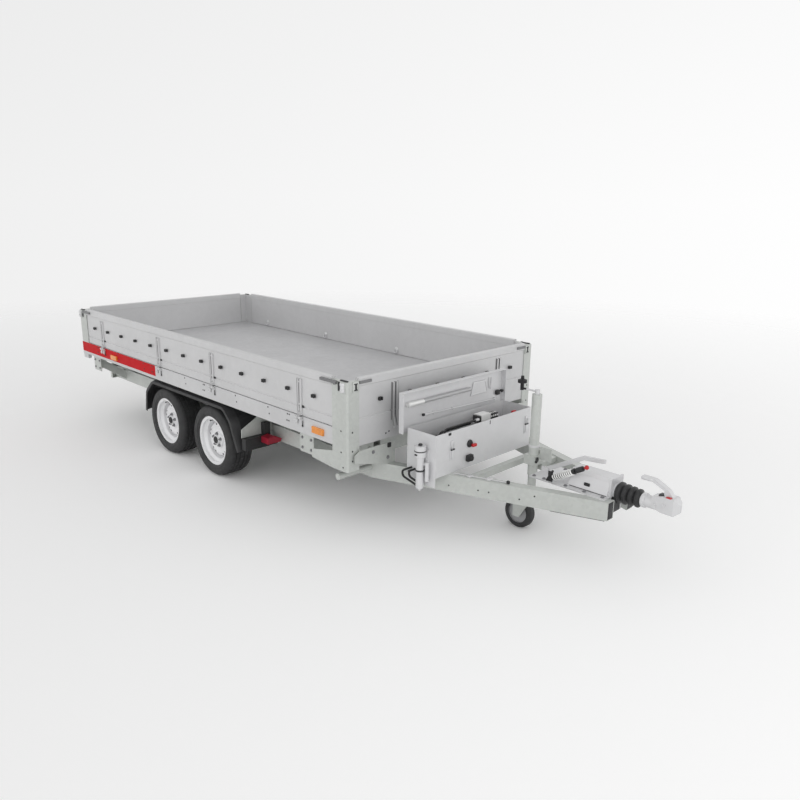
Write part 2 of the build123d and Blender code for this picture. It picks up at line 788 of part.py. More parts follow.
def brake_spring():
    x = BASE_X[0] + SPRING_START
    z = BASE_TOP + SPRING_R + 4
    plane = Plane(origin=(x, SPRING_Y, z), z_dir=SPRING_RUN)
    foot = block(around(x, 12), around(SPRING_Y, 8), (BASE_TOP, z + 2))
    done = 0
    pieces = [foot]
    for length, radius in SPRING_PIECES:
        pieces.append(extrude(plane.offset(done) * Circle(radius), amount=length))
        done += length
    return fuse(pieces)


# Jockey wheel

def jockey_clamp():
    """Clamp block with its plate, the arm to the left beam and a toggle with its plate."""
    x = around(JOCKEY_X, CLAMP_HALF)
    y = JOCKEY_Y + CLAMP_HALF
    ring = block(x, (JOCKEY_Y - CLAMP_HALF, y), CLAMP_Z)
    ring -= rod_z(JOCKEY_X, JOCKEY_Y, (CLAMP_Z[0] - 1, CLAMP_Z[1] + 1), JOCKEY_TUBE_R)
    plate = block(x, (y, y + CLAMP_SHEET), (CLAMP_Z[0] - 45, CLAMP_Z[1] + 20))
    arm_x = around(JOCKEY_X, CLAMP_HALF / 2)
    arm_plan = [(arm_x[0], y + CLAMP_SHEET), (arm_x[1], y + CLAMP_SHEET)]
    arm_plan += [(end, beam_edge(end, -1)) for end in reversed(arm_x)]
    arm = upright(arm_plan, (BEAM_TOP - BRACE_HEIGHT, BEAM_TOP - CROSS_INSET))
    bolt_z = CLAMP_Z[1] - 10
    bolt = rod((x[1], JOCKEY_Y, bolt_z), (x[1] + 8, JOCKEY_Y, bolt_z), 9)
    toggle = block((x[1] + 8, x[1] + 88), around(JOCKEY_Y, 4), (bolt_z - 10, bolt_z + 70))
    return ring + plate + arm + bolt + toggle


def jockey_tube():
    tube = rod_z(JOCKEY_X, JOCKEY_Y, (JOCKEY_TUBE_BOTTOM, JOCKEY_TUBE_TOP), JOCKEY_TUBE_R)
    bore = (JOCKEY_TUBE_BOTTOM - 1, JOCKEY_TUBE_TOP - JOCKEY_CAP)
    return tube - rod_z(JOCKEY_X, JOCKEY_Y, bore, JOCKEY_LEG_R + JOCKEY_LEG_PLAY)


# Crank knob, turned about an upright line: height above the crank's rod and radius
KNOB_SECTION = ((-11, 0), (-11, 11), (30, 11), (34, 28), (52, 28), (58, 11), (76, 9), (76, 0))


def jockey_crank():
    start = (JOCKEY_X, JOCKEY_Y, JOCKEY_TUBE_TOP)
    boss = rod(start, (JOCKEY_X, JOCKEY_Y, CRANK_Z + 2 * CRANK_ROD_R), JOCKEY_TUBE_R / 2)
    knob_x = JOCKEY_X - CRANK_ARM
    arm = rod((JOCKEY_X, JOCKEY_Y, CRANK_Z), (knob_x, JOCKEY_Y, CRANK_Z), CRANK_ROD_R)
    outline = make_face(Polyline(*[(r, z) for z, r in KNOB_SECTION], close=True))
    knob = Pos(knob_x, JOCKEY_Y, CRANK_Z) * revolve(Plane.XZ * outline, axis=Axis.Z)
    return boss + arm + knob


def jockey_leg():
    leg = rod_z(JOCKEY_X, JOCKEY_Y, (JOCKEY_CROWN_Z, JOCKEY_LEG_TOP), JOCKEY_LEG_R)
    bore = (JOCKEY_CROWN_Z - 1, JOCKEY_STEM_TOP + 4)
    return leg - rod_z(JOCKEY_X, JOCKEY_Y, bore, JOCKEY_STEM_R + JOCKEY_LEG_PLAY)


def jockey_fork():
    x = JOCKEY_X - JOCKEY_TRAIL
    outer = JOCKEY_FORK_HALF + JOCKEY_FORK_SHEET
    front = JOCKEY_X + JOCKEY_TUBE_R - 2
    crown = block(
        (x - 26, front), around(JOCKEY_Y, outer), (JOCKEY_CROWN_Z - JOCKEY_FORK_SHEET, JOCKEY_CROWN_Z)
    )
    outline = [
        (x - 24, JOCKEY_WHEEL_R - 20), (x + 24, JOCKEY_WHEEL_R - 20), (front, JOCKEY_CROWN_Z), (x - 26, JOCKEY_CROWN_Z),
    ]
    fork = crown
    for y in (JOCKEY_Y - outer, JOCKEY_Y + JOCKEY_FORK_HALF):
        fork += across(outline, (y, y + JOCKEY_FORK_SHEET))
    fork += rod_z(JOCKEY_X, JOCKEY_Y, (JOCKEY_CROWN_Z, JOCKEY_STEM_TOP), JOCKEY_STEM_R)
    return fork + rod_y(x, around(JOCKEY_Y, JOCKEY_FORK_HALF), JOCKEY_WHEEL_R, JOCKEY_PIN_R)


# Jockey wheel's half section: radius, distance from its middle plane
JOCKEY_SECTION = (
    (JOCKEY_PIN_R + RUN_CLEAR, JOCKEY_FORK_HALF - 4), (26, JOCKEY_FORK_HALF - 4), (26, 20), (66, 16), (66, 26),
    (84, 29), (96, 24), (JOCKEY_WHEEL_R, 14),
)


def jockey_wheel():
    outline = list(JOCKEY_SECTION) + [(r, -y) for r, y in reversed(JOCKEY_SECTION)]
    return turned_y(outline, (JOCKEY_X - JOCKEY_TRAIL, JOCKEY_Y, JOCKEY_WHEEL_R))


# Pump box and hydraulics

def pump_box():
    """Open-topped box on the drawbar, with an apron over the right beam and hinge knuckles behind."""
    outer = block(BOX_X, BOX_Y, (BEAM_TOP, BOX_TOP))
    inner = block(
        (BOX_X[0] + BOX_SHEET, BOX_X[1] - BOX_SHEET),
        (BOX_Y[0] + BOX_SHEET, BOX_Y[1] - BOX_SHEET),
        (BEAM_TOP + BOX_SHEET, BOX_TOP + 1),
    )
    shell = outer - inner
    shell += block(BOX_X, (BOX_Y[0], BOX_Y[0] + BOX_SHEET), (APRON_BOTTOM, BEAM_TOP))
    for y in LID_HINGE_Y:
        leaf = around(y, LID_HINGE_HALF)
        shell += rod_y(LID_HINGE_X, leaf, LID_HINGE_Z, LID_HINGE_R)
        shell += block((LID_HINGE_X, BOX_X[0]), leaf, (LID_HINGE_Z - LID_HINGE_R, LID_HINGE_Z))
    return shell


def lid_sheet_x():
    return (LID_HINGE_X - LID_RIM, LID_HINGE_X - LID_RIM + BOX_SHEET)


def box_lid():
    """Tray-shaped lid, stored open and upright behind the box, its rims facing forwards."""
    y = (BOX_Y[0] - LID_OVER, BOX_Y[1] + LID_OVER)
    x = lid_sheet_x()
    z = (LID_HINGE_Z - LID_HINGE_R, LID_HINGE_Z + LID_DEPTH)
    rim_x = (x[1], LID_HINGE_X)
    lid = block(x, y, z)
    lid += block(rim_x, y, (z[1] - BOX_SHEET, z[1]))
    for edge in (y[0], y[1] - BOX_SHEET):
        lid += block(rim_x, (edge, edge + BOX_SHEET), (z[0], z[1]))
    for middle in LID_HINGE_Y:
        start = middle + LID_HINGE_HALF + LID_HINGE_PLAY
        leaf = (start, start + 2 * LID_HINGE_HALF)
        lid += rod_y(LID_HINGE_X, leaf, LID_HINGE_Z, LID_HINGE_R)
        lid += block(rim_x, leaf, (LID_HINGE_Z - LID_HINGE_R, LID_HINGE_Z + LID_HINGE_R))
    return lid


def pump_lever():
    """Hand lever of the pump, clipped inside the lid."""
    face = lid_sheet_x()[1]
    x = face + LEVER_R + 4
    z = LID_HINGE_Z + LEVER_UP
    bar = rod_y(x, LEVER_Y, z, LEVER_R)
    bar += rod_y(x, (LEVER_Y[0], LEVER_Y[0] + 130), z, LEVER_R + 3)
    for y in LEVER_CLIPS:
        bar += block((face, x), around(y, 8), around(z, LEVER_R - 3))
    return bar


def power_pack():
    """Battery, and the motor pump with its valve block and tank."""
    floor = BEAM_TOP + BOX_SHEET
    middle = (BOX_X[0] + BOX_X[1]) / 2
    depth, width, height = BATTERY
    battery = block(
        around(middle, depth / 2), (BOX_Y[0] + BATTERY_IN, BOX_Y[0] + BATTERY_IN + width), (floor, floor + height)
    )
    depth, width, height = TANK
    tank = block(around(middle, depth / 2), (VALVE_Y[1], VALVE_Y[1] + width), (floor, floor + height))
    motor = rod_y(middle, (VALVE_Y[0] - 200, VALVE_Y[0]), MOTOR_Z, MOTOR_R)
    foot = block(around(middle, MOTOR_R - 8), (VALVE_Y[0] - 160, VALVE_Y[0] - 20), (floor, MOTOR_Z))
    valve = block(around(middle - VALVE_BACK, 30), VALVE_Y, (floor, VALVE_TOP))
    return [battery, motor + foot + valve + tank]


def hand_pump():
    """Upright hand pump on the right end of the box."""
    x = BOX_X[0] + PUMP_AHEAD
    y = BOX_Y[0] - PUMP_OUT
    pump = block(around(x, 42), (BOX_Y[0] - 10, BOX_Y[0]), (PUMP_BOTTOM + 75, PUMP_TOP + 40))
    pump += rod_z(x, y, (PUMP_BOTTOM, PUMP_TOP), 24)
    pump += rod_z(x, y, (PUMP_TOP, PUMP_HEAD_TOP), PUMP_OUT)
    pump += rod_z(x + 44, y + 12, (PUMP_BOTTOM + 52, PUMP_TOP - 30), 12)
    return pump + block((x, x + 44), around(y + 12, 8), (PUMP_TOP - 50, PUMP_TOP - 34))


def hydraulic_hoses():
    """Two hoses looped from the end of the box to the hand pump, and two inside the box."""
    pump_x = BOX_X[0] + PUMP_AHEAD
    y = BOX_Y[0] - PUMP_OUT
    wall = BOX_Y[0] - 0.3
    hoses = []
    for start, loop, low, high in ((38, -47, PUMP_BOTTOM + 10, 458), (67, 6, PUMP_BOTTOM + 34, 455)):
        x = BOX_X[0] + start
        path = [
            (x, wall, high), (x, y, high), (BOX_X[0] + loop, y, (low + high) / 2 - 4), (pump_x - 24.5, y, low),
        ]
        hoses.append(bent_rod(path, HOSE_R, HOSE_BEND))
    top = BEAM_TOP + BOX_SHEET + BATTERY[2]
    for x, rise in ((BOX_X[0] + 72, 30), (BOX_X[0] + 112, 58)):
        tap = BOX_Y[0] + BATTERY_IN + BATTERY_TAP
        path = [(x, tap, top + 0.3), (x, tap, top + rise), (x, VALVE_Y[0] - 0.3, top + rise)]
        hoses.append(bent_rod(path, HOSE_R, HOSE_BEND))
    return hoses


# Bed

def bed_floor():
    reach = BED_HALF - WALL
    return block((WALL, BED_LENGTH - WALL), (-reach, reach), (BEARER_TOP, RAIL_TOP))


def bearer_stations():
    """Bearers: a pair at the cylinder and even rows behind and ahead of it."""
    rear = (RAM_X - RAM_BEARER - BEARER_REAR) / BEARERS_EACH_END
    front = (BED_LENGTH - BEARER_FRONT - RAM_X - RAM_BEARER) / BEARERS_EACH_END
    stations = [RAM_X - RAM_BEARER - rear * i for i in range(BEARERS_EACH_END + 1)]
    return stations + [RAM_X + RAM_BEARER + front * i for i in range(BEARERS_EACH_END + 1)]


def bed_bearers():
    reach = BED_HALF - WALL
    half = BEARER_WIDTH / 2
    parts = []
    for x in bearer_stations():
        tube = block(around(x, half), (-reach, reach), (RUNNER_TOP, BEARER_TOP))
        hollow = block(
            around(x, half - BEARER_SHEET), (-reach - 1, reach + 1),
            (RUNNER_TOP + BEARER_SHEET, BEARER_TOP - BEARER_SHEET),
        )
        parts.append(tube - hollow)
    return parts


def bed_runners():
    x = (TIP_X - BRIDGE_REAR, BED_LENGTH - RUNNER_INSET)
    tube = block(x, around(RUNNER_Y, RUNNER_HALF), (RUNNER_BOTTOM, RUNNER_TOP))
    tube -= block(
        (x[0] - 1, x[1] + 1), around(RUNNER_Y, RUNNER_HALF - RUNNER_SHEET),
        (RUNNER_BOTTOM + RUNNER_SHEET, RUNNER_TOP - RUNNER_SHEET),
    )
    return both(tube)


def tip_ears():
    """Bed halves of the tipping hinge, one each side of a lug."""
    inner = LUG_THICK / 2 + EAR_GAP
    outline = [
        (TIP_X - BRIDGE_REAR, RUNNER_TOP), (TIP_X - BRIDGE_REAR, TIP_Z - 10), (TIP_X - 16, TIP_Z - 26),
        (TIP_X + 16, TIP_Z - 26), (TIP_X + 40, TIP_Z), (TIP_X + BRIDGE_FRONT, RUNNER_TOP),
    ]
    ears = []
    for y in ((LUG_Y - inner - EAR_THICK, LUG_Y - inner), (LUG_Y + inner, LUG_Y + inner + EAR_THICK)):
        ear = across(outline, y)
        ears.append(ear - rod_y(TIP_X, (y[0] - 1, y[1] + 1), TIP_Z, TIP_PIN_R + RUN_CLEAR))
    return ears


def bed_brackets():
    """Rear bearer with the tipping ears and hanging strips, and the cylinder's head bracket."""
    reach = BED_HALF - WALL
    rear = TIP_X - BRIDGE_REAR
    bridge = block((rear, TIP_X + BRIDGE_FRONT), (-reach, reach), (RUNNER_TOP, BEARER_TOP))
    strip = block((rear - STRIP_SHEET, rear), STRIP_Y, (STRIP_BOTTOM, BEARER_TOP))
    for item in tip_ears() + [strip]:
        bridge = bridge + item + other_side(item)
    half = RAM_BEARER - BEARER_WIDTH / 2
    head = block(around(RAM_X, half), (-110, 110), (RUNNER_TOP, RUNNER_TOP + HEAD_PLATE_THICK))
    eye = RAM_EYE_HALF + HEAD_PLATE_GAP
    low = RAM_HEAD_Z - RAM_EYE_R - 1
    outline = [(RAM_X - 45, RUNNER_TOP), (RAM_X - 26, low), (RAM_X + 26, low), (RAM_X + 45, RUNNER_TOP)]
    plate = across(outline, (eye, eye + HEAD_PLATE_THICK))
    return [bridge, head + plate + other_side(plate)]


def side_straps():
    return [SIDE_HOOK_END + SIDE_HOOK_PITCH * at for at in STRAP_AT]


def side_rails():
    """Hollow rails with the fixed halves of the wall hinges."""
    y = (BED_HALF - WALL, BED_HALF)
    z = (RAIL_BOTTOM, RAIL_TOP)
    rail = block((0, BED_LENGTH - POST_SIDE), y, z)
    rail -= block(
        (-1, BED_LENGTH), (y[0] + RAIL_SHEET, y[1] - RAIL_SHEET), (z[0] + RAIL_SHEET, z[1] - RAIL_SHEET)
    )
    rail += block((0, RAIL_FOOT[0]), (y[0], y[1] - RAIL_SHEET), (z[0] - RAIL_FOOT[1], z[0]))
    inner = KNUCKLE_HALF + KNUCKLE_GAP
    outer = inner + KNUCKLE_SIDE
    for x in side_straps():
        for ends in ((x - outer, x - inner), (x + inner, x + outer)):
            start = (ends[0], SIDE_HINGE_Y, SIDE_HINGE_Z)
            rail += rod(start, (ends[1], SIDE_HINGE_Y, SIDE_HINGE_Z), KNUCKLE_R)
            leaf_z = (SIDE_HINGE_Z - HINGE_LEAF, SIDE_HINGE_Z - HINGE_PIN_R)
            rail += block(ends, (BED_HALF, SIDE_HINGE_Y), leaf_z)
        rail += rod((x - inner, SIDE_HINGE_Y, SIDE_HINGE_Z), (x + inner, SIDE_HINGE_Y, SIDE_HINGE_Z), HINGE_PIN_R)
    return both(rail)


def end_rails():
    z = (RAIL_BOTTOM, RAIL_TOP)
    reach = BED_HALF - POST_END
    front = block((BED_LENGTH - WALL, BED_LENGTH - PANEL_RECESS), (-reach, reach), z)
    reach = BED_HALF - WALL
    rear = block((0, WALL), (-reach, reach), z)
    return [front, rear]


def corner_posts():
    """Folded L-shaped posts; the front pair reaches below the rails and carries the skirts."""
    front = BED_LENGTH
    side = front - POST_SIDE
    plan = [
        (front, BED_HALF - POST_END), (front, BED_HALF - POST_BEVEL), (front - POST_BEVEL, BED_HALF),
        (side, BED_HALF), (side, BED_HALF - WALL), (front - WALL, BED_HALF - WALL), (front - WALL, BED_HALF - POST_END),
    ]
    skirt = across(
        [
            (side - SKIRT_LENGTH, SKIRT_REAR[0]), (side - SKIRT_LENGTH, SKIRT_REAR[1]),
            (side, SKIRT_FRONT[1]), (side, SKIRT_FRONT[0]),
        ],
        (BED_HALF - SKIRT_SHEET, BED_HALF),
    )
    parts = both(upright(plan, (FRONT_POST_BOTTOM, POST_TOP)) + skirt)
    rear = upright([(front - x, y) for x, y in plan], (RAIL_TOP, POST_TOP))
    inner = BED_HALF - POST_END
    bore = rod_y(TAIL_HINGE_X, (inner - 1, inner + TAIL_PIN_REACH + 2), TAIL_HINGE_Z, TAIL_PIN_R + RUN_CLEAR)
    return parts + both(rear - bore)


def panel_profile(bottom):
    """Wall section: distance outwards and height."""
    groove = -PANEL_RECESS - GROOVE_DEPTH
    edge = BED_TOP - TOP_EDGE
    inner = -WALL - EDGE_LIP
    return [
        (-WALL, bottom), (-PANEL_RECESS, bottom),
        (-PANEL_RECESS, GROOVE_Z - GROOVE_HALF), (groove, GROOVE_Z - GROOVE_HALF / 2),
        (groove, GROOVE_Z + GROOVE_HALF / 2), (-PANEL_RECESS, GROOVE_Z + GROOVE_HALF),
        (-PANEL_RECESS, edge - EDGE_BEVEL), (0, edge), (0, BED_TOP - EDGE_BEVEL), (-EDGE_BEVEL, BED_TOP),
        (inner + EDGE_BEVEL, BED_TOP), (inner, BED_TOP - EDGE_BEVEL), (inner, edge), (-WALL, edge - EDGE_BEVEL),
    ]


def panel_ends():
    return (POST_SIDE + PANEL_GAP, BED_LENGTH - POST_SIDE - PANEL_GAP)


def side_panel():
    return along([(BED_HALF + out, z) for out, z in panel_profile(PANEL_BOTTOM)], panel_ends())


def side_strap(x):
    """Ribbed strap with the moving knuckle of its hinge."""
    face = (SIDE_FACE, SIDE_FACE + STRAP_THICK)
    bottom = PANEL_BOTTOM + EDGE_BEVEL
    strap = block(around(x, STRAP_WIDTH / 2), face, (bottom, STRAP_TOP))
    groove, depth = STRAP_GROOVE
    strap -= block(around(x, groove / 2), (face[1] - depth, face[1] + 1), (bottom + STRAP_WIDTH, STRAP_TOP + 1))
    leaf = around(x, KNUCKLE_HALF - KNUCKLE_GAP)
    web_z = SIDE_HINGE_Z + HINGE_PIN_R + KNUCKLE_R
    strap += block(leaf, (SIDE_FACE, SIDE_HINGE_Y), (web_z, bottom + STRAP_WIDTH / 2))
    strap += block(leaf, around(SIDE_HINGE_Y, KNUCKLE_R / 2), (SIDE_HINGE_Z, web_z + 2))
    ends = around(x, KNUCKLE_HALF)
    strap += rod((ends[0], SIDE_HINGE_Y, SIDE_HINGE_Z), (ends[1], SIDE_HINGE_Y, SIDE_HINGE_Z), KNUCKLE_R)
    pin = rod(
        (ends[0] - 1, SIDE_HINGE_Y, SIDE_HINGE_Z), (ends[1] + 1, SIDE_HINGE_Y, SIDE_HINGE_Z), HINGE_PIN_R + RUN_CLEAR
    )
    return strap - pin


def side_fittings():
    """Hinge straps and corner latches of one side wall."""
    parts = [side_strap(x) for x in side_straps()]
    z = BED_TOP - LATCH_DROP
    latch_y = (BED_HALF + LATCH_OFF, BED_HALF + LATCH_OFF + LATCH_THICK)
    reach, radius = LATCH_HUB
    for end, way in zip(panel_ends(), (1, -1)):
        hub_x = end - way * reach
        arm = block(sorted((hub_x, end + way * LATCH_ARM)), latch_y, around(z, LATCH_HALF))
        seat = block(
            sorted((end + way * radius, end + way * LATCH_ARM)), (BED_HALF, latch_y[0]), around(z, LATCH_HALF)
        )
        hub = rod_y(hub_x, latch_y, z, radius)
        parts.append(arm + seat + hub)
    return parts


def hook():
    """Rope hook that faces +Y: a base and two prongs."""
    base = block((-HOOK_HALF, HOOK_HALF), (0, HOOK_BASE), around(0, HOOK_HEIGHT / 2))
    for x in ((-HOOK_HALF, -HOOK_SLIT / 2), (HOOK_SLIT / 2, HOOK_HALF)):
        base += block(x, (HOOK_BASE, HOOK_PROUD), around(0, HOOK_HEIGHT / 2))
    return base


def side_hooks():
    return [Pos(SIDE_HOOK_END + SIDE_HOOK_PITCH * i, SIDE_FACE, HOOK_Z) * hook() for i in range(SIDE_HOOKS)]


def end_hooks(face, turn):
    places = [END_HOOK_PITCH * i - END_HOOK_REACH for i in range(END_HOOKS)]
    return [Pos(face, y, HOOK_Z) * Rot(0, 0, turn) * hook() for y in places]


def front_wall():
    """Fixed front wall, flush with its rail, with two pairs of ribs that kick out at their feet."""
    face = BED_LENGTH - PANEL_RECESS
    reach = BED_HALF - POST_END
    wall = across([(BED_LENGTH + out, z) for out, z in panel_profile(RAIL_TOP)], (-reach, reach))
    rib = [
        (face, STRAP_TOP), (face + STRAP_THICK, STRAP_TOP), (face + STRAP_THICK, END_STRAP_BEND_Z),
        (face + STRAP_THICK + END_STRAP_KICK, END_STRAP_FOOT_Z), (face + END_STRAP_KICK, END_STRAP_FOOT_Z),
        (face, END_STRAP_BEND_Z),
    ]
    half = STRAP_WIDTH / 2
    slit = STRAP_GROOVE[0] / 2
    for y in (-END_STRAP_Y, END_STRAP_Y):
        wall += across(rib, (y - half, y - slit))
        wall += across(rib, (y + slit, y + half))
    latch_z = around(BED_TOP - LATCH_DROP, LATCH_HALF)
    latch = block((BED_LENGTH, BED_LENGTH + LATCH_THICK), (reach - LATCH_ARM, reach), latch_z)
    return wall + latch + other_side(latch)


def tail_panel():
    reach = BED_HALF - POST_END - PANEL_GAP
    panel = across([(-out, z) for out, z in panel_profile(PANEL_BOTTOM)], (-reach, reach))
    pin = rod_y(TAIL_HINGE_X, (reach, reach + PANEL_GAP + TAIL_PIN_REACH), TAIL_HINGE_Z, TAIL_PIN_R)
    return panel + pin + other_side(pin)


def side_markers():
    lamps = []
    for x in MARKER_X:
        station = x if x > 0 else BED_LENGTH + x
        z = around(MARKER_Z, MARKER_HALF[1])
        lamps += both(block(around(station, MARKER_HALF[0]), (BED_HALF, BED_HALF + MARKER_PROUD), z))
    return lamps


# Tipping cylinder

def ram_stage(index):
    """Barrel and, from the second on, the stages that slide in one another."""
    last = len(RAM_RADII) - 1
    low = RAM_BOTTOM if index == 0 else RAM_BOTTOM + RAM_FLOOR + RAM_STEP * index
    top = RAM_TOP + RAM_TOP_STEP * index
    body = rod_z(RAM_X, 0, (low, top), RAM_RADII[index])
    if index < last:
        floor = RAM_BOTTOM + RAM_FLOOR + RAM_STEP * (index + 1) - 1
        body -= rod_z(RAM_X, 0, (floor, top + 1), RAM_RADII[index + 1] + RAM_CLEAR)
    if index == 0:
        trunnion = rod_y(RAM_X, (RAM_RADII[0] - 5, CHEEK_Y + CHEEK_THICK - 1), RAM_PIVOT_Z, RAM_TRUNNION_R)
        body = body + trunnion + other_side(trunnion)
        body -= rod_z(RAM_X, 0, (floor, top + 1), RAM_RADII[1] + RAM_CLEAR)
    if index == last:
        body += rod_z(RAM_X, 0, (top, RAM_HEAD_Z), RAM_NECK_R)
        body += rod_y(RAM_X, (-RAM_EYE_HALF, RAM_EYE_HALF), RAM_HEAD_Z, RAM_EYE_R)
    return body


def build_nodes():
    left_fittings = side_fittings()
    left_hooks = side_hooks()
    nodes = {
        "chassis_beams": chassis_beams(),
        "cross_members": cross_members(),
        "ram_cheeks": ram_cheeks(),
        "outriggers": outriggers() + wing_plates() + guard_stays() + bed_rests() + chock_plates(),
        "axle_tubes": axle_tubes(),
        "swing_arms": swing_arms(),
        "mudguards": mudguards(),
        "chock_holders": chock_holders(),
        "wheel_chocks": wheel_chocks(),
        "overrun_housing": [overrun_housing()],
        "gaiter": [gaiter()],
        "coupling_head": [coupling_head()],
        "coupling_handle": [coupling_handle()],
        "handbrake_lever": [handbrake_lever()],
        "brake_spring": [brake_spring()],
        "jockey_clamp": [jockey_clamp()],
        "jockey_tube": [jockey_tube()],
        "jockey_crank": [jockey_crank()],
        "pump_box": [pump_box()],
        "power_pack": power_pack(),
        "hand_pump": [hand_pump()],
        "hydraulic_hoses": hydraulic_hoses(),
        "lamp_bar": [lamp_bar()],
        "tail_lamps": tail_lamps(),
        "bed_floor": [bed_floor()],
        "bed_bearers": bed_bearers(),
        "bed_runners": bed_runners(),
        "bed_brackets": bed_brackets(),
        "side_rails": side_rails(),
        "end_rails": end_rails(),
        "corner_posts": corner_posts(),
        "front_wall": [front_wall()],
        "front_hooks": end_hooks(BED_LENGTH - PANEL_RECESS, -90),
        "side_markers": side_markers(),
        "left_panel": [side_panel()],
        "left_fittings": left_fittings,
        "left_hooks": left_hooks,
        "right_panel": [other_side(side_panel())],
        "right_fittings": [other_side(part) for part in left_fittings],
        "right_hooks": [other_side(part) for part in left_hooks],
        "tail_panel": [tail_panel()],
        "tail_hooks": end_hooks(PANEL_RECESS, 90),
        "box_lid": [box_lid()],
        "pump_lever": [pump_lever()],
        "jockey_leg": [jockey_leg()],
        "jockey_fork": [jockey_fork()],
        "jockey_wheel": [jockey_wheel()],
    }
    for index, name in enumerate(("ram_barrel", "ram_stage_a", "ram_stage_b", "ram_stage_c", "ram_stage_d")):
        nodes[name] = [ram_stage(index)]
    for axle, x in zip(("rear", "front"), WHEEL_X):
        for side, way in (("left", 1), ("right", -1)):
            tyre, rim = wheel_set(x, way)
            nodes[f"tyre_{axle}_{side}"] = [tyre]
            nodes[f"rim_{axle}_{side}"] = [rim]
    return nodes


def export(nodes):
    os.makedirs("parts", exist_ok=True)
    for name, solids in nodes.items():
        moved = [Pos(-ORIGIN_X, 0, 0) * solid for solid in solids]
        shape = moved[0] if len(moved) == 1 else Compound(children=moved)
        export_step(shape, f"parts/{name}.step")


if __name__ == "__main__":
    export(build_nodes())
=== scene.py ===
"""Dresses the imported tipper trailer: finishes for its CAD nodes, small fittings, stage and camera."""

from contextlib import contextmanager
from math import atan2, cos, hypot, pi, radians, sin

import bmesh
import bpy
from mathutils import Matrix, Vector


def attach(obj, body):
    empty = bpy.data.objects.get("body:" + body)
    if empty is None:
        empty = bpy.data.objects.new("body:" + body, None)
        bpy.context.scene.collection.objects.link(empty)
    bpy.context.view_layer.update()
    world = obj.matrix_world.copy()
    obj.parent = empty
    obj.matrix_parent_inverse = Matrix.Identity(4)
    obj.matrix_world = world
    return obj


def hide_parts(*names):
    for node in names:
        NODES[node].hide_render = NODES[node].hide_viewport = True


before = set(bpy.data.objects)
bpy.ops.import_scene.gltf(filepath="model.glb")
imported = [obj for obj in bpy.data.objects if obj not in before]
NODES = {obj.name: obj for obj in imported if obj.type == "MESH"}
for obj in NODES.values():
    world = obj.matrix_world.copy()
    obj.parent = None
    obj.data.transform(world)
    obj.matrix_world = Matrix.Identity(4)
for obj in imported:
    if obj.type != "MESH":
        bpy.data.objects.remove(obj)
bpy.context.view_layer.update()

bl_info = {
    "name": "Tipper Trailer",
    "version": (1, 0, 0),
    "blender": (4, 5, 0),
    "location": "View3D > Sidebar > Trailer",
    "description": "Builds the finishes, fittings and studio of a tandem tipper trailer",
    "category": "Object",
}

MM = 0.001

# Stations of the part, in millimetres from the rear face of the bed
ORIGIN = 2628
BED_LENGTH = 3680
BED_HALF = 880
SIDE_FACE = 874
POST_TOP = 984
STRAPS = (444.8, 1450.9, 2229.1, 3235.2)
WHEELS = {"rear": 1475, "front": 2145}
WHEEL_Y = 769.5
WHEEL_R = 262.5
BOX_X = (3842, 4068)
BOX_TOP = 694
LID_FACE = 3802
JOCKEY = (4302, 70)
BASE_TOP = 445
SHAFT_Z = 458
BALL = (5212, 452)
BEAM_TOP = 437
BEAM_SKIN = 31.9
SIDES = (("left", 1), ("right", -1))
OPPOSITE = {"left": "right", "right": "left"}
STRIPE_END = 1380
POST_INSIDE_X = (29.4, 3650.6)
HOUSING_MOUTH = 4890

# Where the paint of a finish changes, in metres of the row frame
STRIPE_LOW = 0.612
# The latches in this band are painted dark as painted shade
LATCH_BAND = (0.955, 0.99)
# Beside the strap ribs of the front wall the sheet is painted dark as painted shade
FRONT_STRAP_Y = 0.5
FRONT_STRAP_Z = (0.66, 0.932)
POST_INSIDE_Y = 0.8505
LEVER_GRIP_Y = -0.402
VALVE_Y = (-0.0205, 0.0705)
TAIL_AMBER_Y = 0.555
JOCKEY_HUB_R = 0.066


def at(x, y, z):
    """Point of the row frame from a station in millimetres."""
    return Vector((station(x), y * MM, z * MM))


def station(x):
    """Row-frame X of a station in millimetres."""
    return (x - ORIGIN) * MM


def drawbar_y(x):
    """Middle line of the left drawbar beam at a station."""
    return 590 - 0.36255 * (x - 3600)


# Materials


class Wiring:
    """Shader nodes of one tree, laid down one at a time."""

    def __init__(self, tree):
        self.tree = tree

    def add(self, kind, **settings):
        node = self.tree.nodes.new(kind)
        for key, value in settings.items():
            setattr(node, key, value)
        return node

    def link(self, source, target):
        self.tree.links.new(source, target)

    def feed(self, source, socket):
        """Link an output to a socket, or set the socket to a value."""
        if hasattr(source, "is_output"):
            self.link(source, socket)
        elif socket.type == "RGBA":
            socket.default_value = (*source, 1)
        else:
            socket.default_value = source

    def math(self, operation, *values):
        node = self.add("ShaderNodeMath", operation=operation)
        for source, socket in zip(values, node.inputs):
            self.feed(source, socket)
        return node.outputs[0]

    def span(self, factor, low, high, first, last):
        """One range of a value brought to another."""
        node = self.add("ShaderNodeMapRange")
        for key, value in zip(("From Min", "From Max", "To Min", "To Max"), (low, high, first, last)):
            node.inputs[key].default_value = value
        self.link(factor, node.inputs["Value"])
        return node.outputs["Result"]

    def split(self, vector):
        node = self.add("ShaderNodeSeparateXYZ")
        self.link(vector, node.inputs[0])
        return node.outputs


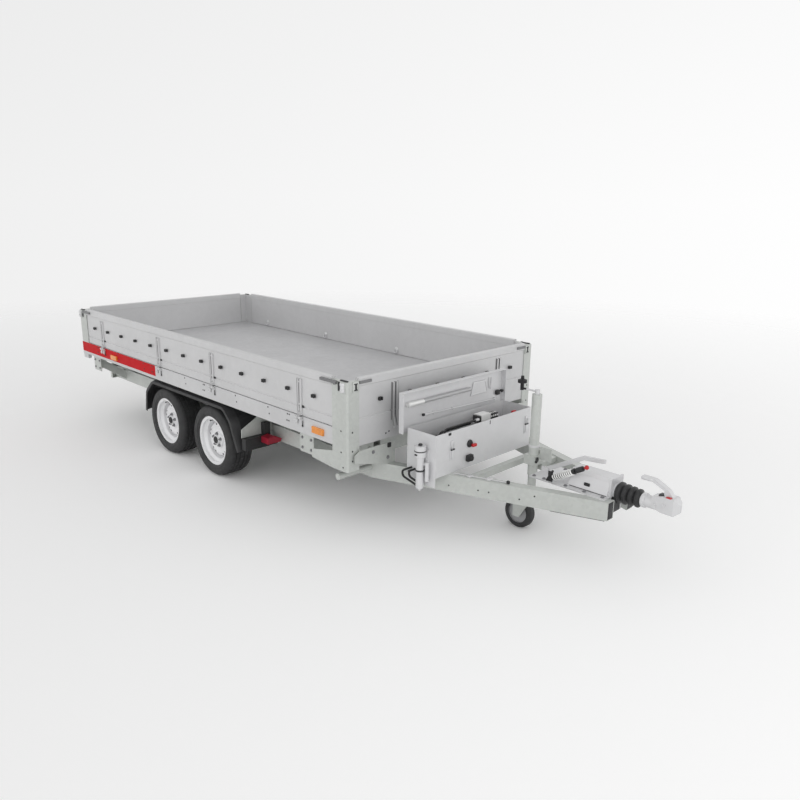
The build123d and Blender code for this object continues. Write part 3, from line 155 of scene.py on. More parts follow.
class Shading(Wiring):
    """Nodes of a new material, around its main shader."""

    def __init__(self, name):
        self.material = bpy.data.materials.new(name)
        self.material.use_nodes = True
        super().__init__(self.material.node_tree)
        self.surface = self.tree.nodes["Principled BSDF"]
        self.place = self.add("ShaderNodeTexCoord").outputs["Object"]

    def noise(self, scale, detail=3.0, stretch=(1, 1, 1)):
        mapping = self.add("ShaderNodeMapping")
        mapping.inputs["Scale"].default_value = stretch
        self.link(self.place, mapping.inputs["Vector"])
        node = self.add("ShaderNodeTexNoise")
        node.inputs["Scale"].default_value = scale
        node.inputs["Detail"].default_value = detail
        self.link(mapping.outputs["Vector"], node.inputs["Vector"])
        return node.outputs["Fac"]

    def cells(self, scale):
        node = self.add("ShaderNodeTexVoronoi")
        node.inputs["Scale"].default_value = scale
        self.link(self.place, node.inputs["Vector"])
        return node.outputs["Color"]

    def ramp(self, factor, low, high, first, last):
        node = self.add("ShaderNodeValToRGB")
        node.color_ramp.elements[0].position = low
        node.color_ramp.elements[1].position = high
        node.color_ramp.elements[0].color = (*first, 1)
        node.color_ramp.elements[1].color = (*last, 1)
        self.link(factor, node.inputs["Fac"])
        return node.outputs["Color"]

    def mix(self, factor, first, second, blend="MIX"):
        node = self.add("ShaderNodeMix", data_type="RGBA", blend_type=blend)
        for source, socket in zip((factor, first, second), (node.inputs[0], node.inputs[6], node.inputs[7])):
            self.feed(source, socket)
        return node.outputs[2]

    def axis(self, name):
        """One Object coordinate, in metres."""
        return self.split(self.place)[name]

    def beside(self, name, middle):
        """Distance of an Object coordinate, its sign dropped, from a middle."""
        return self.math("ABSOLUTE", self.math("SUBTRACT", self.math("ABSOLUTE", self.axis(name)), middle))

    def within(self, name, low, high):
        """1 where an Object coordinate lies between two values."""
        value = self.axis(name)
        return self.both(self.math("GREATER_THAN", value, low), self.math("LESS_THAN", value, high))

    def both(self, *masks):
        """1 where every mask is 1."""
        whole = masks[0]
        for mask in masks[1:]:
            whole = self.math("MULTIPLY", whole, mask)
        return whole

    def bump(self, height, strength, distance):
        node = self.add("ShaderNodeBump")
        node.inputs["Strength"].default_value = strength
        node.inputs["Distance"].default_value = distance
        self.link(height, node.inputs["Height"])
        self.link(node.outputs["Normal"], self.surface.inputs["Normal"])

    def colour(self, source):
        self.link(source, self.surface.inputs["Base Color"])

    def painted(self):
        return self.surface.inputs["Base Color"].links[0].from_socket

    def recolour(self, mask, colour):
        """Paint another colour where a mask is 1."""
        self.colour(self.mix(mask, self.painted(), colour))

    def roughness(self, source):
        self.link(source, self.surface.inputs["Roughness"])


def scaled(colour, factor):
    return tuple(min(1.0, c * factor) for c in colour)


def zinc_sheet(name, colour, metal=0.35, spangle=45, contrast=0.05, rough=(0.38, 0.5)):
    """Zinc-coated steel: a faint spangle, cloudy patches and a soft sheen."""
    s = Shading(name)
    s.surface.inputs["Metallic"].default_value = metal
    cloud = s.noise(2.2, 4)
    base = s.ramp(cloud, 0.3, 0.72, scaled(colour, 1 - contrast), scaled(colour, 1 + contrast))
    cell = s.ramp(s.cells(spangle), 0.1, 0.9, scaled((1, 1, 1), 1 - contrast), (1, 1, 1))
    s.colour(s.mix(1.0, base, cell, "MULTIPLY"))
    s.roughness(s.span(s.noise(30, 3), 0.3, 0.7, *rough))
    s.bump(s.noise(140, 2), 0.12, 0.0004)
    return s


def moulded(name, colour, rough=0.5, grain=420):
    """Moulded plastic or rubber with a fine grain."""
    s = Shading(name)
    s.colour(s.ramp(s.noise(9, 3), 0.3, 0.7, scaled(colour, 0.82), scaled(colour, 1.2)))
    s.roughness(s.span(s.noise(22, 2), 0.3, 0.7, rough - 0.06, rough + 0.08))
    s.bump(s.noise(grain, 2), 0.25, 0.0003)
    return s


def lens(name, colour):
    """Moulded lamp lens with fine upright flutes."""
    s = Shading(name)
    s.colour(s.ramp(s.noise(25, 2), 0.3, 0.7, scaled(colour, 0.85), scaled(colour, 1.1)))
    s.surface.inputs["Roughness"].default_value = 0.16
    s.surface.inputs["Coat Weight"].default_value = 0.6
    wave = s.add("ShaderNodeTexWave", bands_direction="DIAGONAL")
    wave.inputs["Scale"].default_value = 60
    s.link(s.place, wave.inputs["Vector"])
    s.bump(wave.outputs["Fac"], 0.35, 0.001)
    return s


def striped_rail(name, colour, red):
    """Zinc rail whose outer faces carry a red stripe at the rear."""
    s = zinc_sheet(name, colour, 0.3, 30, 0.04)
    rear = s.within("X", station(0), station(STRIPE_END))
    skin = s.math("LESS_THAN", s.beside("Y", BED_HALF * MM), 0.5 * MM)
    mask = s.both(rear, skin, s.math("GREATER_THAN", s.axis("Z"), STRIPE_LOW))
    paint = s.ramp(s.noise(7, 3), 0.3, 0.7, scaled(red, 0.94), scaled(red, 1.05))
    s.recolour(mask, paint)
    s.link(s.span(mask, 0.0, 1.0, 0.3, 0.0), s.surface.inputs["Metallic"])
    s.surface.inputs["Specular IOR Level"].default_value = 0.05
    return s


def tyre_rubber(name, colour):
    s = Shading(name)
    s.colour(s.ramp(s.noise(14, 4), 0.3, 0.7, scaled(colour, 0.8), scaled(colour, 1.25)))
    s.roughness(s.span(s.noise(40, 2), 0.3, 0.7, 0.5, 0.68))
    s.bump(s.noise(500, 2), 0.3, 0.0004)
    return s


MATERIALS = {}


def make_materials(look):
    grey = tuple(look.sheet_grey)
    galv = tuple(look.galvanised)
    plated = tuple(look.plated)
    black = tuple(look.black)
    red = tuple(look.stripe_red)
    MATERIALS["panel"] = zinc_sheet("panel_sheet", grey, 0.3, 26, 0.03)
    MATERIALS["rail"] = striped_rail("striped_rail", grey, red)
    MATERIALS["galvanised"] = zinc_sheet("hot_dip_zinc", galv, 0.35, 55, 0.07)
    MATERIALS["bright"] = zinc_sheet("plated_fittings", plated, 0.35, 60, 0.02, (0.34, 0.42))
    MATERIALS["floor"] = zinc_sheet("bed_floor_sheet", tuple(look.floor_grey), 0.4, 18, 0.05, (0.45, 0.6))
    MATERIALS["box"] = zinc_sheet("pump_box_sheet", tuple(look.box_grey), 0.3, 30, 0.03)
    MATERIALS["black"] = moulded("black_moulding", black, 0.5)
    MATERIALS["guard"] = moulded("mudguard_moulding", scaled(black, 1.5), 0.42, 260)
    MATERIALS["hose"] = moulded("hose_rubber", black, 0.42, 700)
    MATERIALS["tyre"] = tyre_rubber("tyre_rubber", tuple(look.tyre_black))
    MATERIALS["rim"] = zinc_sheet("rim_silver", tuple(look.rim_silver), 0.2, 120, 0.02, (0.3, 0.4))
    MATERIALS["red"] = moulded("red_moulding", red, 0.35)
    MATERIALS["white"] = moulded("white_moulding", (0.8, 0.8, 0.79), 0.35)
    MATERIALS["steel"] = zinc_sheet("bare_bolt_steel", (0.27, 0.27, 0.28), 0.5, 90, 0.06, (0.3, 0.42))
    # Blackened steel for real dark fittings, and for the dark pieces that stand as painted shade in vents,
    # holes, slots and beam ends
    MATERIALS["dark"] = zinc_sheet("blackened_steel_and_painted_shade", (0.05, 0.05, 0.052), 0.5, 60, 0.1)
    MATERIALS["amber"] = lens("amber_lens", (0.80, 0.27, 0.03))
    MATERIALS["ram"] = zinc_sheet("ground_ram_steel", (0.5, 0.5, 0.52), 0.9, 150, 0.03, (0.15, 0.25))

    latch = zinc_sheet("straps_and_latches", grey, 0.3, 60, 0.02, (0.34, 0.42))
    # Painted shade on the straps: the groove down each strap's middle and a line along its rear edge
    for x in STRAPS:
        latch.recolour(latch.within("X", station(x - 7.2), station(x + 7.2)), (0.42, 0.42, 0.425))
        latch.recolour(latch.within("X", station(x - 22), station(x - 17)), (0.1, 0.1, 0.102))
    # Painted shade: the latch arms above the latch band are painted dark
    latch.recolour(latch.math("GREATER_THAN", latch.axis("Z"), LATCH_BAND[0]), (0.2, 0.2, 0.205))
    MATERIALS["latch"] = latch

    front = zinc_sheet("front_wall_sheet", grey, 0.3, 26, 0.03)
    # Painted shade: the latch plates on the front face are painted dark
    ahead = front.math("GREATER_THAN", front.axis("X"), station(BED_LENGTH + 1))
    front.recolour(front.both(ahead, front.within("Z", *LATCH_BAND)), (0.22, 0.22, 0.225))
    # Painted shade: the slit between each pair of strap ribs and a band beside them are painted dark
    beside = front.beside("Y", FRONT_STRAP_Y)
    slit = front.math("LESS_THAN", beside, 0.0072)
    flank = front.math("COMPARE", beside, 0.0255, 0.0048)
    rib_shade = front.both(front.math("MAXIMUM", slit, flank), front.within("Z", *FRONT_STRAP_Z))
    front.recolour(rib_shade, (0.27, 0.27, 0.275))
    MATERIALS["front"] = front

    post = zinc_sheet("corner_post_zinc", galv, 0.35, 55, 0.07)
    inside = post.math("LESS_THAN", post.math("ABSOLUTE", post.axis("Y")), POST_INSIDE_Y)
    inside = post.both(inside, post.within("X", *map(station, POST_INSIDE_X)))
    post.recolour(post.both(inside, post.math("GREATER_THAN", post.axis("Z"), 0.7)), scaled(grey, 0.97))
    MATERIALS["post"] = post

    housing = zinc_sheet("overrun_housing_zinc", plated, 0.35, 60, 0.02, (0.34, 0.42))
    # Painted shade: the opening of the housing below the shaft at its mouth is painted near black
    ahead = housing.math("GREATER_THAN", housing.axis("X"), station(HOUSING_MOUTH))
    mouth_shade = housing.both(housing.within("Z", 0.3, 0.44), housing.within("Y", -0.05, 0.05), ahead)
    housing.recolour(mouth_shade, (0.04, 0.04, 0.042))
    MATERIALS["housing"] = housing

    # Painted shade: the chock red is a darker copy of the red
    MATERIALS["chock"] = moulded("chock_red_with_painted_shade", (0.3, 0.012, 0.03), 0.4)
    lever = zinc_sheet("pump_lever_steel", scaled(plated, 0.7), 0.35, 60, 0.02)
    lever.recolour(lever.math("LESS_THAN", lever.axis("Y"), LEVER_GRIP_Y), (0.82, 0.82, 0.81))
    MATERIALS["lever"] = lever
    crank = zinc_sheet("crank_with_knob", plated, 0.4, 90, 0.04)
    crank.recolour(crank.math("LESS_THAN", crank.axis("X"), station(JOCKEY[0] - 78)), black)
    MATERIALS["crank"] = crank
    pack = moulded("pump_and_battery", black, 0.45)
    pack.recolour(pack.within("Y", *VALVE_Y), (0.85, 0.85, 0.84))
    MATERIALS["pack"] = pack
    tail = lens("tail_lens", (0.42, 0.015, 0.012))
    tail.recolour(tail.math("LESS_THAN", tail.beside("Y", TAIL_AMBER_Y), 0.029), (0.75, 0.24, 0.03))
    MATERIALS["tail"] = tail

    roller = moulded("jockey_tyre_and_hub", scaled(black, 1.6), 0.5)
    hub = at(JOCKEY[0] - 75, 0, 100)
    along = roller.math("POWER", roller.math("SUBTRACT", roller.axis("X"), hub.x), 2)
    above = roller.math("POWER", roller.math("SUBTRACT", roller.axis("Z"), hub.z), 2)
    reach = roller.math("SQRT", roller.math("ADD", along, above))
    roller.recolour(roller.math("LESS_THAN", reach, JOCKEY_HUB_R), (0.34, 0.34, 0.35))
    MATERIALS["roller"] = roller


NODE_FINISH = {
    "panel": "left_panel right_panel tail_panel end_rails",
    "front": "front_wall",
    "lever": "pump_lever",
    "rail": "side_rails",
    "galvanised": "chassis_beams cross_members ram_cheeks outriggers axle_tubes swing_arms bed_runners "
    "bed_bearers bed_brackets jockey_tube jockey_leg jockey_fork jockey_clamp lamp_bar",
    "post": "corner_posts",
    "housing": "overrun_housing",
    "bright": "coupling_head handbrake_lever hand_pump coupling_handle",
    "latch": "left_fittings right_fittings",
    "crank": "jockey_crank",
    "floor": "bed_floor",
    "box": "pump_box box_lid",
    "black": "chock_holders front_hooks left_hooks right_hooks tail_hooks brake_spring",
    "guard": "mudguards",
    "pack": "power_pack",
    "hose": "hydraulic_hoses gaiter",
    "tyre": "tyre_front_left tyre_front_right tyre_rear_left tyre_rear_right",
    "roller": "jockey_wheel",
    "rim": "rim_front_left rim_front_right rim_rear_left rim_rear_right",
    "chock": "wheel_chocks",
    "tail": "tail_lamps",
    "amber": "side_markers",
    "ram": "ram_barrel ram_stage_a ram_stage_b ram_stage_c ram_stage_d",
}


# Modelling


def only(*pieces):
    """Select these pieces alone, the first of them active."""
    bpy.ops.object.select_all(action="DESELECT")
    for piece in pieces:
        piece.select_set(True)
    bpy.context.view_layer.objects.active = pieces[0]
    return pieces[0]


@contextmanager
def edit(piece, mode="FACE"):
    only(piece)
    bpy.ops.object.mode_set(mode="EDIT")
    bpy.ops.mesh.select_mode(type=mode)
    yield
    bpy.ops.object.mode_set(mode="OBJECT")


def pick_faces(piece, test):
    """In edit mode, select the faces whose centre and normal pass a test."""
    bpy.ops.mesh.select_all(action="DESELECT")
    mesh = bmesh.from_edit_mesh(piece.data)
    for face in mesh.faces:
        face.select_set(test(face.calc_center_median(), face.normal))
    bmesh.update_edit_mesh(piece.data)


def pick_edges(piece, test):
    """In edit mode, select the edges whose two ends pass a test."""
    bpy.ops.mesh.select_all(action="DESELECT")
    mesh = bmesh.from_edit_mesh(piece.data)
    for edge in mesh.edges:
        edge.select_set(test(edge.verts[0].co, edge.verts[1].co))
    bmesh.update_edit_mesh(piece.data)


def joined(pieces):
    bpy.context.view_layer.update()
    only(*pieces)
    if len(pieces) > 1:
        bpy.ops.object.join()
    return bpy.context.object


def slab(x, y, z, edge=2.0, segments=2):
    """Block between station coordinates, its edges rounded."""
    low = at(x[0], y[0], z[0])
    high = at(x[1], y[1], z[1])
    bpy.ops.object.select_all(action="DESELECT")
    bpy.ops.mesh.primitive_cube_add(size=1, location=(low + high) / 2, scale=high - low)
    piece = bpy.context.object
    bpy.ops.object.transform_apply(location=False, rotation=False, scale=True)
    with edit(piece):
        bpy.ops.mesh.select_all(action="SELECT")
        bpy.ops.mesh.bevel(offset=edge * MM, segments=segments, affect="EDGES")
    return piece


def turned(profile, steps=24):
    """Round piece about its own Z, from points of radius and height in millimetres."""
    bpy.ops.object.select_all(action="DESELECT")
    bpy.ops.mesh.primitive_plane_add(size=0.01, location=(0, 0, 0))
    piece = bpy.context.object
    with edit(piece, "VERT"):
        bpy.ops.mesh.select_all(action="SELECT")
        bpy.ops.mesh.merge(type="CENTER")
        bpy.ops.transform.translate(value=(profile[0][0] * MM, 0, profile[0][1] * MM))
        for last, point in zip(profile, profile[1:]):
            step = ((point[0] - last[0]) * MM, 0, (point[1] - last[1]) * MM)
            bpy.ops.mesh.extrude_vertices_move(TRANSFORM_OT_translate={"value": step})
        bpy.ops.mesh.select_all(action="SELECT")
        bpy.ops.mesh.spin(steps=steps, angle=2 * pi, center=(0, 0, 0), axis=(0, 0, 1))
        bpy.ops.mesh.select_all(action="SELECT")
        bpy.ops.mesh.remove_doubles(threshold=0.00002)
        bpy.ops.mesh.normals_make_consistent(inside=False)
    return piece


def bar(points, radius, kind="POLY", sides=3):
    """Round bar along station points, closed at its ends."""
    data = bpy.data.curves.new("bar", "CURVE")
    data.dimensions = "3D"
    spline = data.splines.new(kind)
    spline.points.add(len(points) - 1)
    for control, point in zip(spline.points, points):
        control.co = (*at(*point), 1)
    if kind == "NURBS":
        spline.order_u = 3
        spline.use_endpoint_u = True
        spline.resolution_u = 6
    data.bevel_depth = radius * MM
    data.bevel_resolution = sides
    data.use_fill_caps = True
    piece = bpy.data.objects.new("bar", data)
    bpy.context.collection.objects.link(piece)
    only(piece)
    bpy.ops.object.convert(target="MESH")
    return bpy.context.object


def hex_bolt(size, height):
    """Hexagon head on its washer, facing along Z."""
    bpy.ops.object.select_all(action="DESELECT")
    middle = (0, 0, height / 2 * MM)
    bpy.ops.mesh.primitive_cylinder_add(vertices=6, radius=size * MM, depth=height * MM, location=middle)
    head = bpy.context.object
    bpy.ops.object.transform_apply(location=True, rotation=False, scale=False)
    with edit(head):
        pick_faces(head, lambda centre, normal: normal.z > 0.9)
        bpy.ops.mesh.inset(thickness=size * 0.18 * MM, depth=height * 0.12 * MM)
        bpy.ops.mesh.inset(thickness=size * 0.2 * MM, depth=-height * 0.1 * MM)
    washer = turned(((0, 0), (size * 1.45, 0), (size * 1.45, height * 0.25), (size * 0.9, height * 0.3)), 16)
    return joined([head, washer])


def rivet(radius, height):
    """Domed head, facing along Z."""
    dome = ((radius, height * 0.35), (radius * 0.72, height * 0.82), (radius * 0.3, height))
    return turned(((0, 0), (radius, 0), *dome, (0, height)), 12)


FACING = {
    "front": (1, 0, 0),
    "rear": (-1, 0, 0),
    "left": (0, 1, 0),
    "right": (0, -1, 0),
    "up": (0, 0, 1),
    "beam_left": (0.36255, 1, 0),
    "beam_right": (0.36255, -1, 0),
}


def turn_to(facing):
    """Turn that brings Z to a named side or along a vector."""
    return Vector(FACING.get(facing, facing)).to_track_quat("Z", "Y").to_matrix().to_4x4()


def placed(template, spots):
    """Copies of a fitting at stations, each turned its own way, joined into one piece."""
    twins = []
    for x, y, z, facing in spots:
        twin = template.copy()
        twin.data = template.data.copy()
        bpy.context.collection.objects.link(twin)
        twin.matrix_world = Matrix.Translation(at(x, y, z)) @ turn_to(facing)
        twins.append(twin)
    bpy.data.objects.remove(template, do_unlink=True)
    return joined(twins)


def flank(way, near, far):
    """Span across the trailer, on one side of it."""
    return sorted((way * near, way * far))


def mirrored(spots):
    """The same spots on both sides of the trailer."""
    return list(spots) + [(x, -y, z, OPPOSITE.get(facing, facing)) for x, y, z, facing in spots]


def dress(piece, name, finish, body, angle=35):
    """Name a finished piece, give it its finish and let it ride on a body."""
    only(piece)
    bpy.ops.object.transform_apply(location=True, rotation=True, scale=True)
    bpy.ops.object.shade_smooth_by_angle(angle=radians(angle))
    piece.name = name
    piece.data.name = name
    piece.data.materials.clear()
    piece.data.materials.append(MATERIALS[finish].material)
    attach(piece, body)
    return piece


def tint(name, description, colour):
    return bpy.props.FloatVectorProperty(name=name, description=description, subtype="COLOR", default=colour)


def level(name, description, default, most=10.0):
    return bpy.props.FloatProperty(name=name, description=description, min=0.0, max=most, default=default)


class TrailerLook(bpy.types.PropertyGroup):
    """Colours and light that a user would change."""

    sheet_grey: tint("Sheet grey", "Walls and rails of the bed", (0.62, 0.62, 0.625))
    galvanised: tint("Galvanised", "Hot-dip zinc of beams and posts", (0.58, 0.6, 0.575))
    plated: tint("Plated", "Zinc-plated fittings", (0.7, 0.7, 0.71))
    floor_grey: tint("Floor grey", "Sheet floor of the bed", (0.6, 0.6, 0.61))
    box_grey: tint("Box grey", "Pump box and its lid", (0.7, 0.7, 0.71))
    rim_silver: tint("Rim silver", "Wheel rims", (0.86, 0.86, 0.87))
    black: tint("Black", "Plastic and rubber", (0.018, 0.018, 0.019))
    tyre_black: tint("Tyre black", "Tyres", (0.03, 0.03, 0.031))
    stripe_red: tint("Stripe red", "Stripe on the rails and red mouldings", (0.5, 0.012, 0.016))
    floor_lift: level("Floor lift", "Brightness of the studio floor as the camera sees it", 1.06)
    ceiling: level("Ceiling", "Brightness of the studio ceiling", 0.38, 1.0)
    light: level("Light", "Level of the studio light", 1.3)
    side_light: level("Side light", "How much more light comes from the right side", 0.34, 1.0)
    lens: bpy.props.FloatProperty(name="Lens", description="Focal length", unit="CAMERA", default=33.189)


class TRAILER_OT_finishes(bpy.types.Operator):
    """Give every CAD node its own finish"""

    bl_idname = "trailer.finishes"
    bl_label = "Finishes"

    def execute(self, context):
        make_materials(context.scene.trailer_look)
        for finish, names in NODE_FINISH.items():
            for name in names.split():
                node = NODES[name]
                node.data.materials.clear()
                node.data.materials.append(MATERIALS[finish].material)
        return {"FINISHED"}


# Half a tyre from the bead to the middle of the tread: radius, distance from the middle plane
TYRE_PROFILE = (
    (168, 79), (182.3, 79), (184, 90), (191, 94), (197, 95.6), (199.5, 98.2), (206, 98.6), (208, 98),
    (226, 99), (236, 96.6), (244, 93), (251, 87), (256, 82), (259, 73), (262, 63), (262.5, 55),
    (256.5, 53), (256.5, 47), (262.5, 45), (262.5, 23), (256.5, 21), (256.5, 15), (262.5, 13),
)
TREAD_STEPS = 80


def treaded_tyre():
    """Tyre with ribs round it and slits across its tread, about Z."""
    half = list(TYRE_PROFILE)
    ring = half + [(r, -h) for r, h in reversed(half)] + half[:1]
    tyre = turned(ring, TREAD_STEPS)
    tread = 0.2575

    def slit(a, b):
        flat = hypot(a.x, a.y) > tread and hypot(b.x, b.y) > tread
        level = abs(atan2(a.y, a.x) - atan2(b.y, b.x)) < 0.001 and abs(a.z - b.z) > 0.001
        sector = round((atan2(a.y, a.x) + pi) / (2 * pi) * TREAD_STEPS)
        return flat and level and sector % 2 == 0

    with edit(tyre, "EDGE"):
        pick_edges(tyre, slit)
        bpy.ops.mesh.bevel(offset=0.0018, segments=1, affect="EDGES")
        bpy.ops.mesh.select_mode(type="FACE")
        mesh = bmesh.from_edit_mesh(tyre.data)
        for face in mesh.faces:
            spot = face.calc_center_median()
            turns = (atan2(spot.y, spot.x) + pi) / (2 * pi) * TREAD_STEPS
            on_slit = abs(turns - round(turns)) < 0.02 and round(turns) % 2 == 0
            face.select_set(on_slit and hypot(spot.x, spot.y) > tread and len(face.verts) == 4)
        bmesh.update_edit_mesh(tyre.data)
        bpy.ops.mesh.extrude_region_shrink_fatten(TRANSFORM_OT_shrink_fatten={"value": -0.0045})
    return tyre


class TRAILER_OT_tyres(bpy.types.Operator):
    """Put treaded tyres in place of the plain ones"""

    bl_idname = "trailer.tyres"
    bl_label = "Tyres"

    def execute(self, context):
        pattern = treaded_tyre()
        for axle, x in WHEELS.items():
            for side, way in SIDES:
                tyre = pattern.copy()
                tyre.data = pattern.data.copy()
                context.collection.objects.link(tyre)
                tyre.matrix_world = Matrix.Translation(at(x, way * WHEEL_Y, WHEEL_R)) @ turn_to(side)
                context.view_layer.update()
                dress(tyre, f"treaded_tyre_{axle}_{side}", "tyre", f"wheel_{axle}_{side}", 40)
                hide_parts(f"tyre_{axle}_{side}")
        bpy.data.objects.remove(pattern, do_unlink=True)
        return {"FINISHED"}


WHEEL_BOLTS = 5
BOLT_TURN = 0.3
VENT_PAIRS = 5
VENT_SPREAD = 9
BOLT_CIRCLE = 47
VENT_CIRCLE = 114
VENT_FACE = 33.6
HUB_FACE = 44
CAP_FACE = 58
HUB_CAP = ((0, 0), (27, 0), (27, 3), (24, 5.5), (17, 5.5), (15, 3), (8, 3.4), (0, 3.6))


class TRAILER_OT_wheel_trim(bpy.types.Operator):
    """Add wheel bolts, hub caps, valves and dark domes that paint shade into the rim vents"""

    bl_idname = "trailer.wheel_trim"
    bl_label = "Wheel Trim"

    def execute(self, context):
        for axle, x in WHEELS.items():
            for side, way in SIDES:
                body = f"wheel_{axle}_{side}"
                spots = []
                for i in range(WHEEL_BOLTS):
                    turn = 2 * pi * i / WHEEL_BOLTS + BOLT_TURN
                    out = (BOLT_CIRCLE * cos(turn), BOLT_CIRCLE * sin(turn))
                    spots.append((x + out[0], way * (WHEEL_Y + HUB_FACE), WHEEL_R + out[1], side))
                dress(placed(hex_bolt(8.5, 15), spots), f"wheel_bolts_{axle}_{side}", "steel", body)
                cap = placed(turned(HUB_CAP, 28), [(x, way * (WHEEL_Y + CAP_FACE), WHEEL_R, side)])
                dress(cap, f"hub_cap_{axle}_{side}", "dark", body)
                # Dark domes in the rim vents are painted shade
                vent_shade_spots = []
                for i in range(2 * VENT_PAIRS):
                    turn = 2 * pi * (i // 2) / VENT_PAIRS + radians(VENT_SPREAD if i % 2 else -VENT_SPREAD)
                    ahead, up = sin(turn), cos(turn)
                    place = (x + VENT_CIRCLE * ahead, way * (WHEEL_Y + VENT_FACE), WHEEL_R + VENT_CIRCLE * up)
                    vent_shade_spots.append((*place, (0.3 * ahead, way, 0.3 * up)))
                dress(placed(rivet(8, 1.8), vent_shade_spots), f"rim_vent_shade_{axle}_{side}", "dark", body)
                stem = turned(((0, 0), (6, 0), (5.4, 6), (4, 12), (4, 26), (5, 27), (5, 34), (0, 35)), 12)
                spot = (x - 40, way * (WHEEL_Y + 40), WHEEL_R + 142, side)
                dress(placed(stem, [spot]), f"tyre_valve_{axle}_{side}", "hose", body)
        return {"FINISHED"}


# Brake spring on its slanting line: distances along it
SPRING_START = (4564, -106, 467)
SPRING_RUN = Vector((180, 0, 103)).normalized()
COIL_TURNS = 10
COIL_PITCH = 14
COIL_R = 16.5
WIRE_R = 4


def spring_coil():
    """Wire wound about Z with the screw modifier."""
    bpy.ops.object.select_all(action="DESELECT")
    start = (COIL_R * MM, 0, 0)
    bpy.ops.mesh.primitive_circle_add(vertices=8, radius=WIRE_R * MM, location=start, rotation=(pi / 2, 0, 0))
    coil = bpy.context.object
    bpy.ops.object.transform_apply(location=True, rotation=True, scale=False)
    screw = coil.modifiers.new("wind", "SCREW")
    screw.axis = "Z"
    screw.angle = 2 * pi
    screw.screw_offset = COIL_PITCH * MM
    screw.iterations = COIL_TURNS
    screw.steps = 18
    screw.render_steps = 18
    bpy.ops.object.modifier_apply(modifier="wind")
    with edit(coil):
        bpy.ops.mesh.select_all(action="SELECT")
        bpy.ops.mesh.fill_holes(sides=0)
        bpy.ops.mesh.normals_make_consistent(inside=False)
    return coil


class TRAILER_OT_brake_spring(bpy.types.Operator):
    """Wind the handbrake's spring with its sleeve, release button and a dark core whose thick part paints
    shade between the turns
    """

    bl_idname = "trailer.brake_spring"
    bl_label = "Brake Spring"

    def execute(self, context):
        turn = SPRING_RUN.to_track_quat("Z", "Y").to_matrix().to_4x4()
        line = Matrix.Translation(at(*SPRING_START)) @ turn

        def lay(piece, along):
            piece.matrix_world = line @ Matrix.Translation((0, 0, along * MM))
            context.view_layer.update()
            return piece

        coil = dress(lay(spring_coil(), 4), "brake_spring_coil", "white", "chassis", 60)
        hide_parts("brake_spring")
        # The dark core's thick part is painted shade between the spring's turns; its thin end is the rod
        coil_shade_core = lay(turned(((0, 0), (13.5, 0), (13.5, 152), (7, 154), (7, 230), (0, 230)), 16), -2)
        ring = lay(turned(((5, 0), (16, 0), (17, 2), (17, 8), (16, 10), (5, 10), (5, 0)), 24), 150)
        sleeve = turned(((5, 0), (14, 0), (15.5, 2), (15.5, 42), (14, 45), (5, 45), (5, 0)), 24)
        foot = slab((4536, 4566), (-118, -113), (444, 506), 1.5)
        stay = bar([(4530, -116, 446), (4548, -116, 480), (4566, -116, 512)], 7)
        dress(joined([coil_shade_core, ring, lay(sleeve, 170), foot, stay]), "brake_spring_sleeve_and_coil_shade", "dark", "chassis")
        knob = turned(((0, 0), (7, 0), (7, 5), (12, 8), (13, 14), (11, 20), (6, 23), (0, 23)), 24)
        dress(lay(knob, 226), "release_button", "red", "chassis", 50)
        return {"FINISHED"}


class TRAILER_OT_bolts(bpy.types.Operator):
    """Bolt the drawbar, the stays and the hinges together"""

    bl_idname = "trailer.bolts"
    bl_label = "Bolts"

    def execute(self, context):
        spots = [(x, 110, BASE_TOP, "up") for x in (4438, 4506, 4650, 4770, 4882)]
        middle = sum(WHEELS.values()) / 2
        spots += [(middle + x, 735, 578, "up") for x in (-410, 0, 440)]
        spots += [(2562, 650, z, "front") for z in (420, 480)]
        spots += [(3702, 700, 540, "front"), (3702, 580, 480, "front")]
        dress(placed(hex_bolt(8, 8), mirrored(spots)), "chassis_bolts", "steel", "chassis")
        brackets = [(x + dx, 860, z, "left") for x in (240, 3274) for dx in (-44, 44) for z in (490, 555)]
        dress(placed(hex_bolt(7, 7), mirrored(brackets)), "bracket_bolts", "steel", "chassis")
        sides = [(BALL[0] - 20, 38, 476, "left"), (BALL[0] - 70, 34, 462, "left")]
        dress(placed(hex_bolt(9, 8), mirrored(sides)), "coupling_bolts", "bright", "chassis")
        lamp = [(28, y, 445, "rear") for y in (120, 330, 652)]
        dress(placed(hex_bolt(6, 6), mirrored(lamp)), "lamp_bar_bolts", "steel", "chassis")
        for side, way in SIDES:
            straps = [(x, way * 878, z, side) for x in STRAPS for z in (912, 772)]
            dress(placed(rivet(6, 5), straps), f"strap_rivets_{side}", "bright", f"{side}_side")
        return {"FINISHED"}


